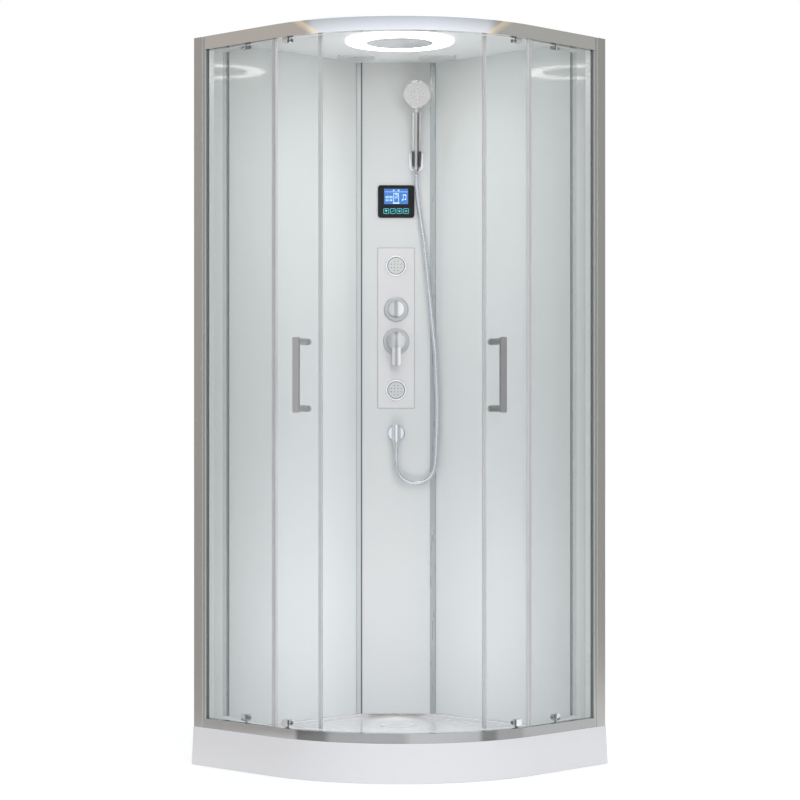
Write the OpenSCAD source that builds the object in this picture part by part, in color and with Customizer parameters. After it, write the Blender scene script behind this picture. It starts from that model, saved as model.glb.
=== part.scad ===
// Quadrant hydromassage shower cabin with sliding glass doors, for a room corner.
// The front faces -Y, the room corner is at +Y and the floor is z = 0.
// Plan shapes are drawn in the corner's own axes: X along the left wall, Y along the right wall.

/* [Cabin] */
// Length of each wall side, at the foot of the tray
side = 900; // [860:5:1100]
// Radius of the round front, at the foot of the tray
corner_r = 550; // [500:5:560]
// Height of the tray rim
tray_h = 115; // [112:1:200]
// How far the tray's front leans out from rim to foot
tray_flare = 7.5; // [4:0.5:12]
// Height of the glass enclosure above the tray rim
frame_h = 2101; // [2080:1:2140]
// Step from the tray rim back to the frame's face
frame_step = 3; // [1:0.5:5]

/* [Tray] */
// Depth of the tray's walking surface below the rim
floor_drop = 34; // [26:1:36]
// Depth of the ledge that the walls and column stand on, below the rim
ledge_drop = 22; // [16:1:24]
// Thickness of the tray's acrylic shell
shell_t = 8; // [6:0.5:9]
// Distance of the drain from the room corner, along the diagonal
drain_v = 351; // [330:1:380]
// Radius of the drain cover
drain_cover_r = 59.5; // [56:0.5:62]
// Radius of the waste outlet pipe
waste_r = 20; // [16:0.5:20]

/* [Frame] */
// Depth of the rails, front to back
rail_d = 51.5; // [51:0.5:56]
// Height of the bottom rail
bottom_rail_h = 28; // [26:1:32]
// Height of the top rail
top_rail_h = 40; // [38:1:46]
// Width of the wall post
post_w = 38; // [34:1:44]
// Depth of the wall post
post_d = 40; // [36:1:44]
// Width of the glazing profile that shows beside the post
seam_w = 12; // [9:1:16]
// Wall thickness of the aluminium profiles
alu_t = 2; // [1.5:0.1:2.5]

/* [Glass] */
// Thickness of the fixed panels and of the doors
glass_t = 5; // [4:0.5:6]
// Depth of the fixed panel behind the frame's face
fixed_inset = 7.5; // [6:0.5:9]
// Free space between a fixed panel and a door
door_gap = 14; // [13:0.5:16]
// Thickness of the back wall panels
wall_t = 5; // [4:0.5:6]
// Gap from the room wall to the back wall panels
wall_gap = 6; // [4:0.5:7]

/* [Doors] */
// Turn of a door from closed to the open place shown
door_swing = 21.8; // [15:0.1:21.8]
// Width of the magnetic strip on a door's leading edge
lead_w = 11; // [10:0.5:18]
// Angle by which a closed door reaches behind its fixed panel
door_overlap = 4.3; // [4:0.1:6]
// Angle of the leading rollers from the straight side
lead_roller_a = 31.4; // [28:0.1:33]
// Angle of the trailing rollers from the straight side
trail_roller_a = 10.7; // [9:0.1:12]
// Radius of a roller wheel
wheel_r = 9; // [8:0.25:9.5]
// Angle of the left handle from the straight side
handle_left_a = 39.1; // [37:0.1:40]
// Angle of the right handle from the straight side
handle_right_a = 41.2; // [38:0.1:41.5]
// Length of the handle bar
handle_len = 220; // [180:1:300]
// Width of the handle bar
handle_w = 20; // [16:0.5:24]
// Thickness of the handle bar
handle_t = 10; // [8:0.5:14]
// Free space between a handle bar and the glass
handle_reach = 54; // [40:1:56]
// Height of a handle's middle above the floor
handle_z = 1181; // [1050:1:1300]

/* [Column] */
// Width of the column's face between the wall panels
col_w = 253; // [240:1:260]
// Depth of the folds along the column's edges, back to the wall panels
col_fold = 9.75; // [9:0.25:11]
// Thickness of the column's panel
col_t = 4; // [3:0.5:5]
// Width of the profile strips along the column's edges
strip_w = 16; // [12:0.5:18]
// Width of the control plate
plate_w = 118; // [110:1:140]
// Height of the control plate
plate_h = 521; // [500:1:560]
// Height of the control plate's lower edge
plate_z = 1090; // [1080:1:1094]
// Height of the lower jet above the control plate's lower edge
jet_low_up = 58; // [50:1:65]
// Radius of a jet's face
jet_r = 28.5; // [24:0.5:28.5]
// Height of the mixer above the lower jet
mixer_up = 158.5; // [150:0.5:164]
// Height of the diverter knob above the mixer
diverter_up = 104.5; // [98:0.5:112]
// Height of the upper jet above the diverter knob
jet_top_up = 142; // [125:1:149]
// Radius of the diverter knob
diverter_r = 26; // [22:0.5:30]
// Radius of the mixer's dome
dome_r = 31; // [29:0.5:34]
// Length of the mixer lever from the dome's centre
lever_len = 80; // [70:1:95]
// Width of the display
display_w = 119; // [100:1:130]
// Height of the display
display_h = 106; // [90:1:120]
// Height of the display's lower edge above the control plate
display_up = 99; // [80:1:115]

/* [Hand shower] */
// Sideways place of the hand shower
hand_x = 65; // [60:1:70]
// Height of the holder's middle
hand_z = 1898; // [1880:1:1910]
// Lean of the hand shower towards the front
hand_tilt = 10; // [5:0.5:12]
// Radius of the hand shower's handle at its foot
hand_r = 13.5; // [13:0.25:15]
// Radius of the hand shower's handle at its neck
hand_top_r = 16; // [14:0.25:17]
// Radius of the hand shower's head
head_r = 47.5; // [40:0.5:55]
// Distance of the hose outlet below the control plate
outlet_drop = 82; // [70:1:90]
// Outer radius of the hose over its ribs
hose_r = 7.5; // [6:0.25:8]
// Number of ribs on the hose
hose_ribs = 160; // [80:1:190]

/* [Roof] */
// Thickness of the roof sheet
roof_t = 4; // [3:0.5:6]
// Distance of the roof's edge behind the frame's face
roof_set = 38; // [30:1:44]
// Radius of the ring light
ring_r = 167; // [150:1:180]
// Radius of the rain shower inside the ring light
rain_r = 99; // [90:1:110]
// Distance of the ring light from the room corner
ring_v = 606; // [590:1:620]
// Radius of the ceiling grilles
grille_r = 60; // [54:1:64]
// Sideways place of the ceiling grilles
grille_x = 131; // [125:1:140]
// Distance of the ceiling grilles from the room corner
grille_v = 255; // [250:1:270]

/* [Hidden] */
$fn = 96;
run_gap = 0.3; // between pieces that move past each other
bore_gap = 0.05; // radial, in running bores
cut = 1; // how far a cutting shape runs past a face

c = side - corner_r;
depth = c * sqrt(2) + corner_r;
corner_y = depth / 2;
rim_r = corner_r - tray_flare;
frame_r = rim_r - frame_step;
rail_in = frame_r - rail_d;
frame_x = c + frame_r;
cabin_h = tray_h + frame_h;
floor_z = tray_h - floor_drop;
ledge_z = tray_h - ledge_drop;
under_z = floor_z - shell_t;

fixed_out = frame_r - fixed_inset;
fixed_in = fixed_out - glass_t;
door_out = fixed_in - door_gap;
door_in = door_out - glass_t;
door_mid = (door_out + door_in) / 2;
track_in = rail_in + alu_t;
track_out = door_out + 1;
track_floor = tray_h + 3;
bottom_rail_z = tray_h + bottom_rail_h;
top_rail_z = cabin_h - top_rail_h;
ledge_in = track_in + 10.2;
lip_h = 10;
top_track_z = cabin_h - 26;
slot_gap = 0.5;
glass_slot = 12;

door_z1 = bottom_rail_z + 2.5;
door_z2 = top_rail_z - 1.5;
// A door's swing centre, from the centre of the round front: it takes both rollers from rail to rail
pole_n = -143;
pole_t = 47;
lead_gap = 0.15; // half the gap between the closed doors
lead_pocket = 7; // depth of the glass in the magnetic strip
seal_t = 10; // depth of the door seals
fin_tip = 11; // how far the trailing fin reaches out of its clip
block_w = 20;
block_h = 20;
block_d = 13;
cap_t = 3; // thickness of the caps outside the glass
wheel_t = 5;
wheel_out = track_in + 10; // the wheel's outer face, from the centre of the round front
arm_in = wheel_out + 3.6;
arm_t = 3;
axle_r = 3;
bolt_r = 3;
knob_r = 5.5;
knob_n = door_in - knob_r - 0.6; // the knobs' axis, from the centre of the round front
handle_bolt_r = 4;
seat_gap = 0.2; // behind flat faces on the curved glass
hole_gap = 0.2; // round bolts and sleeves in their holes
bottom_wheel_z = track_floor + run_gap + wheel_r;
top_wheel_z = top_track_z + alu_t + run_gap + wheel_r;
bottom_block_z = door_z1;
top_block_z = top_rail_z - 13;
top_block_h = 12.5; // the blocks above end below the rail's skirt
knob_heights = [bottom_block_z + block_h / 2, top_block_z + top_block_h / 2];
post_r = 9.5; // radius of the handle's posts
post_inset = 12; // from the bar's end to a post's middle

col_v = col_w / 2 + 2 * col_fold; // the column's face, from the room corner
col_y = corner_y - col_v;
jet_low_z = plate_z + jet_low_up;
mixer_z = jet_low_z + mixer_up;
diverter_z = mixer_z + diverter_up;
jet_top_z = diverter_z + jet_top_up;
display_z = plate_z + plate_h + display_up;
outlet_z = plate_z - outlet_drop;
plate_y = col_y - 3;
mixer_y = plate_y - 5 - 14; // centre of the mixer's dome, in front of its rosette
jet_y = plate_y - 1;
spindle_r = 8;
diverter_stem_r = 4;
outlet_y = col_y - 30;
outlet_nut_h = 26;
outlet_body_h = 54;
ring_y = corner_y - ring_v;
ring_h = 11;
grille_y = corner_y - grille_v;
fan_r = 50; // radius of the fan's duct
fan_h = 34;
fan_pin_r = 3;
wall_in = wall_gap + wall_t;
wall_start = (col_v + col_w / 2) / sqrt(2);
drain_q = drain_v / sqrt(2);
screw_r = 2.5;
hand_y = col_y - 32;
cone_r = 12;
cone_len = 50;
ring_top = 26; // the holder's upper face, along the handle from its middle
ring_low = -26;
neck_z = 151;
head_z = 213;
head_ahead = 14; // from the handle's axis to the head's middle
head_tilt = 28;
nut_r = 10;
nut_low = -36;

// Frames of reference

// Corner axes: X along the left wall, Y along the right wall
module at_corner() {
    translate([0, corner_y, 0])
        rotate([0, 0, -135])
            children();
}

// The left side as drawn, or its mirror image on the right
module on_side(s) {
    mirror([s > 0 ? 1 : 0, 0, 0])
        at_corner()
            children();
}

// A door at its open place: children are drawn closed, about the centre of the round front
module at_door(s) {
    on_side(s)
        translate([c + pole_n, c - pole_t, 0])
            rotate([0, 0, -door_swing])
                translate([-pole_n, pole_t, 0])
                    children();
}

// Along the hand shower's handle, from the middle of its holder
module at_hand() {
    translate([hand_x, hand_y, hand_z])
        rotate([hand_tilt, 0, 0])
            children();
}

// Facing the front from a point on the column's face plane
module facing_front(x, y, z) {
    translate([x, y, z])
        rotate([90, 0, 0])
            children();
}

// Plan of the quadrant with its front at radius r
module plan(r) {
    square([c + r, c]);
    square([c, c + r]);
    translate([c, c])
        intersection() {
            circle(r = r);
            square(r);
        }
}

// Solid quadrant whose front leans from r1 at z1 to r2 at z2
module leaning_quadrant(r1, r2, z1, z2) {
    profile = [[0, z1], [r1, z1], [r2, z2], [0, z2]];
    translate([c, c, 0])
        rotate_extrude(angle = 90)
            polygon(profile);
    for (m = [0, 1])
        mirror([m, -m, 0])
            translate([c, c, 0])
                rotate([90, 0, 0])
                    linear_extrude(c)
                        polygon(profile);
    translate([0, 0, z1])
        cube([c, c, z2 - z1]);
}

// A rail: one profile round the arc, another along both straight sides up to the posts
module swept_rail(arc_profile, straight_profile) {
    at_corner()
        translate([c, c, 0]) {
            rotate_extrude(angle = 90)
                polygon(arc_profile);
            for (m = [0, 1])
                mirror([m, -m, 0])
                    rotate([90, 0, 0])
                        linear_extrude(c - post_w - seam_w)
                            polygon(straight_profile);
        }
}

// Part of a ring about the centre of the round front
module arc_band(r1, r2, a1, a2, z1, z2) {
    rotate([0, 0, a1])
        rotate_extrude(angle = a2 - a1)
            translate([r1, z1])
                square([r2 - r1, z2 - z1]);
}

// Angle that an arc length spans at the doors' radius
function door_angle(len) = len / door_mid * 180 / PI;

module rounded_rect(w, h, r) {
    square([w - 2 * r, h], center = true);
    square([w, h - 2 * r], center = true);
    for (x = [-1, 1], y = [-1, 1])
        translate([x * (w / 2 - r), y * (h / 2 - r)])
            circle(r = r);
}

module tube(r_out, r_in, h) {
    difference() {
        cylinder(r = r_out, h = h);
        translate([0, 0, -cut])
            cylinder(r = r_in, h = h + 2 * cut);
    }
}

// Tray and what lies under it

module at_drain() {
    at_corner()
        translate([drain_q, drain_q, 0])
            children();
}

drain_seat_r = drain_cover_r + run_gap;
drain_hole_r = 45;
drain_seat_z = floor_z - 4;
trap_z = 6;

module tray() {
    recess_r = rail_in - 6;
    foot = 30; // from the room walls to the recess
    color("white")
        difference() {
            at_corner()
                difference() {
                    leaning_quadrant(corner_r, rim_r, 0, tray_h);
                    translate([0, 0, ledge_z])
                        linear_extrude(tray_h) {
                            plan(recess_r);
                            // the wall panels' seats, up to the posts
                            for (m = [0, 1])
                                mirror([m, -m])
                                    translate([-cut, -cut])
                                        square([frame_x - post_d + cut, wall_in + cut]);
                        }
                    translate([0, 0, floor_z])
                        linear_extrude(tray_h)
                            intersection() {
                                plan(recess_r - 4);
                                translate([foot, foot])
                                    square(side);
                            }
                    // hollow under the tray, open to the room walls
                    translate([-cut, -cut, -cut])
                        linear_extrude(under_z - 12 + cut)
                            square([c + cut, c + cut]);
                    translate([0, 0, -cut])
                        linear_extrude(under_z - 12 + cut)
                            plan(rim_r - shell_t);
                    translate([0, 0, under_z - 14])
                        linear_extrude(14)
                            intersection() {
                                plan(recess_r - 4);
                                translate([shell_t, shell_t])
                                    square(side);
                            }
                }
            at_drain() {
                translate([0, 0, drain_seat_z])
                    cylinder(r = drain_seat_r, h = tray_h);
                cylinder(r = drain_hole_r, h = tray_h);
            }
        }
}

frame_tube = 20;
frame_z = 26;
// Feet, as distances along the left and the right wall
foot_in = 60;
foot_far = side - 90;
feet = [
    [foot_in, foot_in], [foot_far, foot_in], [foot_far, c], [c, foot_far], [foot_in, foot_far],
    [c + 0.6 * corner_r, c + 0.6 * corner_r], [(c + foot_far) / 2, (c + foot_far) / 2]
];
// The frame's bars, each from one foot to another
frame_bars = [[0, 1], [1, 2], [2, 3], [3, 4], [4, 0], [5, 6]];

module tray_frame() {
    color("dimgray")
        at_corner()
            translate([0, 0, frame_z])
                linear_extrude(frame_tube)
                    difference() {
                        for (bar = frame_bars)
                            frame_bar(feet[bar[0]], feet[bar[1]]);
                        for (p = feet)
                            translate(p)
                                circle(r = foot_stud_r);
                    }
}

// A bar of the frame between two feet, past both by half its width
module frame_bar(p, q) {
    d = q - p;
    translate(p)
        rotate(atan2(d[1], d[0]))
            translate([-frame_tube / 2, -frame_tube / 2])
                square([norm(d) + frame_tube, frame_tube]);
}

foot_stud_r = 5;

module tray_feet() {
    color("black")
        at_corner()
            for (p = feet)
                translate([p[0], p[1], 0]) {
                    cylinder(r = 20, h = 5);
                    cylinder(r = 9, h = 12);
                    cylinder(r = foot_stud_r, h = under_z);
                    translate([0, 0, frame_z - 8])
                        cylinder(r = 9, h = 8, $fn = 6);
                }
}

module drain_trap() {
    body_r = 54;
    body_h = under_z - trap_z;
    pipe_z = trap_z + waste_r + 2;
    color("whitesmoke")
        at_drain() {
            difference() {
                union() {
                    translate([0, 0, trap_z])
                        cylinder(r = body_r, h = body_h);
                    translate([0, 0, trap_z])
                        cylinder(r = drain_hole_r - run_gap, h = drain_seat_z - trap_z);
                    translate([0, 0, pipe_z])
                        rotate([0, -90, 45]) {
                            cylinder(r = waste_r, h = waste_len);
                            cylinder(r = waste_r + 4, h = waste_len - waste_free);
                        }
                }
                translate([0, 0, trap_z + 3])
                    cylinder(r = drain_hole_r - 5, h = tray_h);
                translate([0, 0, pipe_z])
                    rotate([0, -90, 45])
                        translate([0, 0, drain_hole_r - 7])
                            cylinder(r = waste_r - 2, h = waste_len);
            }
            // the odour trap's cup, standing on the bottom
            translate([0, 0, trap_z + 3])
                tube(24, 21, 30);
        }
}

waste_len = 180;
waste_free = 120; // the stretch of the waste pipe that takes the socket

module drain_cover() {
    color("silver")
        at_drain()
            translate([0, 0, drain_seat_z + run_gap])
                union() {
                    cylinder(r = drain_cover_r, h = 3);
                    translate([0, 0, 3])
                        cylinder(r = drain_cover_r - 6, h = 1.5);
                    translate([0, 0, -10])
                        tube(drain_hole_r - 6, drain_hole_r - 9, 10.5);
                }
}

// Glazing frame

module bottom_rail() {
    outer = [[rail_in, tray_h], [frame_r, tray_h], [frame_r, bottom_rail_z]];
    channel = [
        [track_out, bottom_rail_z], [track_out, track_floor], [track_in, track_floor],
        [track_in, track_floor + lip_h], [rail_in, track_floor + lip_h]
    ];
    slot_z = bottom_rail_z - glass_slot - 2;
    slot = [
        [fixed_out + slot_gap, bottom_rail_z], [fixed_out + slot_gap, slot_z],
        [fixed_in - slot_gap, slot_z], [fixed_in - slot_gap, bottom_rail_z]
    ];
    color("silver")
        swept_rail(concat(outer, channel), concat(outer, slot, channel));
}

module top_rail() {
    roof_z = cabin_h - 3;
    outer = [[frame_r, top_rail_z], [frame_r, cabin_h], [rail_in, cabin_h]];
    channel = [
        [rail_in, top_track_z], [ledge_in, top_track_z], [ledge_in, top_track_z + alu_t],
        [track_in, top_track_z + alu_t], [track_in, roof_z], [track_out, roof_z], [track_out, top_rail_z]
    ];
    slot_z = top_rail_z + glass_slot + 2;
    slot = [
        [fixed_in - slot_gap, top_rail_z], [fixed_in - slot_gap, slot_z],
        [fixed_out + slot_gap, slot_z], [fixed_out + slot_gap, top_rail_z]
    ];
    color("silver")
        difference() {
            swept_rail(concat(outer, channel), concat(outer, channel, slot));
            at_roof_screws()
                translate([0, 0, -4])
                    cylinder(r = screw_r, h = 8);
        }
}

module post(s) {
    inner_d = post_d - 2 * (alu_t + run_gap);
    inner_x = frame_x - post_d + alu_t + run_gap;
    lap = 18; // length of the glazing profile inside the post
    color("silver")
        on_side(s)
            translate([0, 0, tray_h])
                linear_extrude(frame_h) {
                    difference() {
                        translate([frame_x - post_d, 0])
                            square([post_d, post_w]);
                        translate([frame_x - post_d + alu_t, alu_t])
                            square([post_d - 2 * alu_t, post_w]);
                    }
                    difference() {
                        translate([inner_x, post_w - lap])
                            square([inner_d, lap + seam_w]);
                        translate([inner_x + alu_t, post_w - lap + alu_t])
                            square([inner_d - 2 * alu_t, lap + seam_w - 12 - 2 * alu_t]);
                        translate([c + fixed_in - slot_gap, post_w + seam_w - 10])
                            square([glass_t + 2 * slot_gap, 10 + cut]);
                    }
                }
}

module post_left() { post(-1); }
module post_right() { post(1); }

module fixed_glass(s) {
    color("lightblue", 0.4)
        on_side(s)
            translate([c + fixed_in, post_w + seam_w - 8, bottom_rail_z - glass_slot])
                cube([glass_t, c - post_w - seam_w + 8, top_rail_z - bottom_rail_z + 2 * glass_slot]);
}

module fixed_glass_left() { fixed_glass(-1); }
module fixed_glass_right() { fixed_glass(1); }

module glazing_gaskets() {
    color("dimgray")
        for (s = [-1, 1], x = [fixed_out, fixed_in - 2.5])
            on_side(s)
                translate([c + x, post_w + seam_w, bottom_rail_z])
                    cube([2.5, 4, top_rail_z - bottom_rail_z]);
}

module fixed_seals() {
    back = 10; // from the glass edge back over the glass
    front = 7; // beyond the glass edge
    color("gainsboro")
        for (s = [-1, 1])
            on_side(s)
                translate([c + fixed_in, c, bottom_rail_z])
                    linear_extrude(top_rail_z - bottom_rail_z)
                        difference() {
                            translate([-2, -back])
                                square([glass_t + 4, back + front]);
                            translate([0, -back - cut])
                                square([glass_t, back + cut]);
                            translate([-0.8, 1.5])
                                square([glass_t + 1.6, front - 3]);
                        }
}

// Doors, drawn closed

module door_glass(s) {
    tip = 45 - door_angle(lead_gap + lead_w - lead_pocket);
    color("lightblue", 0.4)
        at_door(s)
            difference() {
                arc_band(door_in, door_out, -door_overlap, tip, door_z1, door_z2);
                for (a = [lead_roller_a, trail_roller_a], z = [bottom_block_z + block_h / 2, top_block_z + 5])
                    bore_out(a, z, bolt_r + hole_gap);
                for (z = handle_posts())
                    bore_out(handle_a(s), z, handle_bolt_r + hole_gap);
            }
}

// A bore through the door glass at angle a and height z
module bore_out(a, z, r) {
    rotate([0, 0, a])
        translate([door_in - cut, 0, z])
            rotate([0, 90, 0])
                cylinder(r = r, h = glass_t + 2 * cut);
}

function handle_a(s) = s < 0 ? handle_left_a : handle_right_a;
function handle_posts() = [for (k = [-1, 1]) handle_z + k * (handle_len / 2 - post_inset)];

module door_glass_left() { door_glass(-1); }
module door_glass_right() { door_glass(1); }

module door_seal(s) {
    tip = 45 - door_angle(lead_gap);
    tail = 45 - door_angle(lead_gap + lead_w);
    pocket = 45 - door_angle(lead_gap + lead_w - lead_pocket);
    color("lightgray")
        at_door(s)
            difference() {
                arc_band(door_mid - seal_t / 2, door_mid + seal_t / 2, tail, tip, door_z1, door_z2);
                arc_band(door_in, door_out, tail - 1, pocket, door_z1 - cut, door_z2 + cut);
            }
}

module door_seal_left() { door_seal(-1); }
module door_seal_right() { door_seal(1); }

module door_fin(s) {
    edge = -door_overlap;
    color("lightgray")
        at_door(s) {
            difference() {
                arc_band(door_mid - seal_t / 2, door_mid + seal_t / 2,
                    edge - door_angle(3), edge + door_angle(8), door_z1, door_z2);
                arc_band(door_in, door_out, edge, edge + 2, door_z1 - cut, door_z2 + cut);
            }
            arc_band(door_mid + seal_t / 2 - 0.01, door_out + fin_tip,
                edge - door_angle(3), edge - door_angle(1.5), door_z1, door_z2);
        }
}

module door_fin_left() { door_fin(-1); }
module door_fin_right() { door_fin(1); }

module handle(s) {
    bar_in = door_out + handle_reach;
    cap_len = 13;
    color("gray")
        at_door(s)
            rotate([0, 0, handle_a(s)]) {
                translate([bar_in, 0, handle_z])
                    rotate([90, 0, 90])
                        linear_extrude(handle_t)
                            rounded_rect(handle_w, handle_len, 3);
                for (z = handle_posts())
                    translate([0, 0, z])
                        rotate([0, 90, 0]) {
                            translate([0, 0, door_out])
                                cylinder(r = post_r, h = handle_reach);
                            translate([0, 0, door_in - 1])
                                cylinder(r = handle_bolt_r, h = glass_t + 2);
                            translate([0, 0, door_in - cap_len])
                                cylinder(r = post_r, h = cap_len - seat_gap);
                        }
            }
}

module handle_left() { handle(-1); }
module handle_right() { handle(1); }

// A roller block at angle a: the body on the glass, its arm and the wheel's axle
module roller_block(a, top) {
    z0 = top ? top_block_z : bottom_block_z;
    hole_z = top ? z0 + 5 : z0 + block_h / 2;
    wheel_z = top ? top_wheel_z : bottom_wheel_z;
    body_h = top ? top_block_h : block_h;
    arm_z1 = top ? z0 + body_h : wheel_z - 6;
    arm_z2 = top ? wheel_z + 6 : z0;
    rotate([0, 0, a]) {
        translate([door_in - block_d, -block_w / 2 - 3, z0])
            cube([block_d - seat_gap, block_w, body_h]);
        translate([knob_n, block_w / 2 - 4, z0 + body_h / 2])
            rotate([-90, 0, 0])
                cylinder(r = 3, h = 6);
        translate([arm_in, -6, arm_z1])
            cube([arm_t, 12, arm_z2 - arm_z1]);
        translate([door_in - 1, 0, hole_z])
            rotate([0, 90, 0])
                cylinder(r = bolt_r, h = glass_t + 2);
        // the square cap outside the glass
        translate([door_out, -block_w / 2 - 3, z0])
            cube([cap_t, block_w, body_h]);
        translate([0, 0, wheel_z])
            rotate([0, 90, 0]) {
                translate([0, 0, wheel_out - wheel_t - 1.4])
                    cylinder(r = axle_r, h = wheel_t + 5.5);
                translate([0, 0, wheel_out + run_gap])
                    cylinder(r = 5, h = arm_in - wheel_out - run_gap + 0.5);
                translate([0, 0, wheel_out - wheel_t - 1.4])
                    cylinder(r = 4.5, h = 1.4 - run_gap);
            }
    }
}

module roller_blocks(s) {
    color("silver")
        at_door(s)
            for (a = [lead_roller_a, trail_roller_a], top = [false, true])
                roller_block(a, top);
}

module roller_blocks_left() { roller_blocks(-1); }
module roller_blocks_right() { roller_blocks(1); }

module roller_knobs(s) {
    color("dimgray")
        at_door(s)
            for (a = [lead_roller_a, trail_roller_a], z = knob_heights)
                rotate([0, 0, a])
                    translate([knob_n, block_w / 2 + 2, z])
                        rotate([-90, 0, 0]) {
                            cylinder(r = knob_r, h = 2.5);
                            cylinder(r = knob_r - 1, h = 3.2);
                        }
}

module roller_knobs_left() { roller_knobs(-1); }
module roller_knobs_right() { roller_knobs(1); }

// A wheel: 1 leading top, 2 trailing top, 3 leading bottom, 4 trailing bottom
module wheel(s, k) {
    a = k % 2 == 1 ? lead_roller_a : trail_roller_a;
    z = k < 3 ? top_wheel_z : bottom_wheel_z;
    color("white")
        at_door(s)
            rotate([0, 0, a])
                translate([wheel_out - wheel_t, 0, z])
                    rotate([0, 90, 0])
                        tube(wheel_r, axle_r + bore_gap, wheel_t);
}

module wheel_left_1() { wheel(-1, 1); }
module wheel_left_2() { wheel(-1, 2); }
module wheel_left_3() { wheel(-1, 3); }
module wheel_left_4() { wheel(-1, 4); }
module wheel_right_1() { wheel(1, 1); }
module wheel_right_2() { wheel(1, 2); }
module wheel_right_3() { wheel(1, 3); }
module wheel_right_4() { wheel(1, 4); }

// Back walls and column

module wall(s) {
    color("aliceblue")
        on_side(s)
            translate([wall_start, wall_gap, ledge_z])
                cube([frame_x - post_d - wall_start, wall_t, cabin_h - ledge_z]);
}

module wall_left() { wall(-1); }
module wall_right() { wall(1); }

// Strips along the column's edges, lapping round onto the wall panels
module column_strips() {
    strip_t = 2;
    strip_out = strip_t / sqrt(2);
    color("lightgray")
        translate([0, 0, ledge_z])
            linear_extrude(cabin_h - ledge_z)
                for (m = [0, 1])
                    mirror([m, 0])
                        polygon([
                            [col_w / 2 - strip_w, col_y], [col_w / 2 - strip_w, col_y - strip_t],
                            [col_w / 2 + strip_t * 0.414, col_y - strip_t],
                            [col_w / 2 + strip_out + strip_lap, col_y - strip_out + strip_lap],
                            [col_w / 2 + strip_lap, col_y + strip_lap], [col_w / 2, col_y]
                        ]);
}

strip_lap = col_fold - wall_in / sqrt(2) - 0.1;

module column_plan() {
    half = col_w / 2;
    k = col_t / sqrt(2);
    side_pts = [
        [half, col_y], [half + col_fold, col_y + col_fold],
        [half + col_fold - k, col_y + col_fold + k], [half + col_t - 2 * k, col_y + col_t]
    ];
    mirrored = [for (i = [3:-1:0]) [-side_pts[i][0], side_pts[i][1]]];
    polygon(concat(side_pts, mirrored));
}

jet_cup_r = jet_r + run_gap + 2.2;
jet_cup_d = 20; // depth of a jet's cup behind the plate
mixer_sleeve_r = 20;
mixer_base_r = 25;
diverter_sleeve_r = 12;
valve_end = 36; // from the valve's ends to its nearer bore
outlet_stub = 16; // depth of the outlet's nipple behind the column's face
display_box = [84, 70]; // the display's rear housing, width and height

// Everything that passes through the column and the control plate
module column_holes() {
    for (z = [jet_top_z, jet_low_z])
        facing_front(0, col_y + 20, z)
            cylinder(r = jet_cup_r + hole_gap, h = 60);
    facing_front(0, col_y + 20, mixer_z)
        cylinder(r = mixer_sleeve_r + hole_gap, h = 60);
    facing_front(0, col_y + 20, diverter_z)
        cylinder(r = diverter_sleeve_r + hole_gap, h = 60);
    facing_front(0, col_y + 20, outlet_z)
        cylinder(r = inlet_r + hole_gap, h = 60);
}

module column() {
    color("aliceblue")
        difference() {
            translate([0, 0, ledge_z])
                linear_extrude(cabin_h - ledge_z)
                    column_plan();
            column_holes();
            facing_front(0, col_y - cut, display_z + display_h / 2)
                mirror([0, 0, 1])
                    linear_extrude(col_t + 2 * cut)
                        square([display_box[0] + 2 * run_gap, display_box[1] + 2 * run_gap], center = true);
        }
}

module control_plate() {
    color("whitesmoke")
        difference() {
            facing_front(0, col_y, plate_z + plate_h / 2)
                linear_extrude(col_y - plate_y)
                    rounded_rect(plate_w, plate_h, 2);
            column_holes();
        }
}

module display_panel() {
    color("black") {
        facing_front(0, col_y, display_z + display_h / 2)
            linear_extrude(6)
                rounded_rect(display_w, display_h, 9);
        translate([-display_box[0] / 2, col_y, display_z + (display_h - display_box[1]) / 2])
            cube([display_box[0], 24, display_box[1]]);
    }
}

// Rings round the jets, the diverter and the mixer, with the sleeves behind them
module control_rings() {
    sleeve_len = col_y + col_t - plate_y;
    color("silver") {
        for (z = [jet_top_z, jet_low_z])
            facing_front(0, plate_y, z)
                difference() {
                    union() {
                        cylinder(r1 = jet_r + 7.5, r2 = jet_r + 5, h = 6);
                        translate([0, 0, -jet_cup_d])
                            cylinder(r = jet_cup_r, h = jet_cup_d + 1);
                        translate([0, 0, -jet_cup_d - stub_len])
                            cylinder(r = 7, h = stub_len + 1);
                    }
                    translate([0, 0, 3 - jet_cup_d])
                        cylinder(r = jet_r + run_gap, h = 40);
                }
        facing_front(0, plate_y, diverter_z)
            difference() {
                union() {
                    cylinder(r = diverter_r + 14, h = 4);
                    translate([0, 0, 4])
                        cylinder(r1 = diverter_r + 14, r2 = diverter_r + 11, h = 2);
                    translate([0, 0, -sleeve_len])
                        cylinder(r = diverter_sleeve_r, h = sleeve_len + 1);
                }
                translate([0, 0, -13])
                    cylinder(r = diverter_stem_r + bore_gap, h = 40);
            }
        facing_front(0, plate_y, mixer_z)
            difference() {
                union() {
                    cylinder(r = dome_r + 12, h = 3);
                    translate([0, 0, 3])
                        cylinder(r1 = dome_r + 12, r2 = dome_r + 10, h = 2);
                    translate([0, 0, -sleeve_len])
                        cylinder(r = mixer_sleeve_r, h = sleeve_len + 1);
                    cylinder(r = mixer_base_r, h = 12);
                }
                translate([0, 0, -13])
                    cylinder(r = spindle_r + bore_gap, h = 40);
                // room for the spindle's head
                translate([0, 0, 9])
                    cylinder(r = 11.5, h = 10);
            }
    }
}

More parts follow.
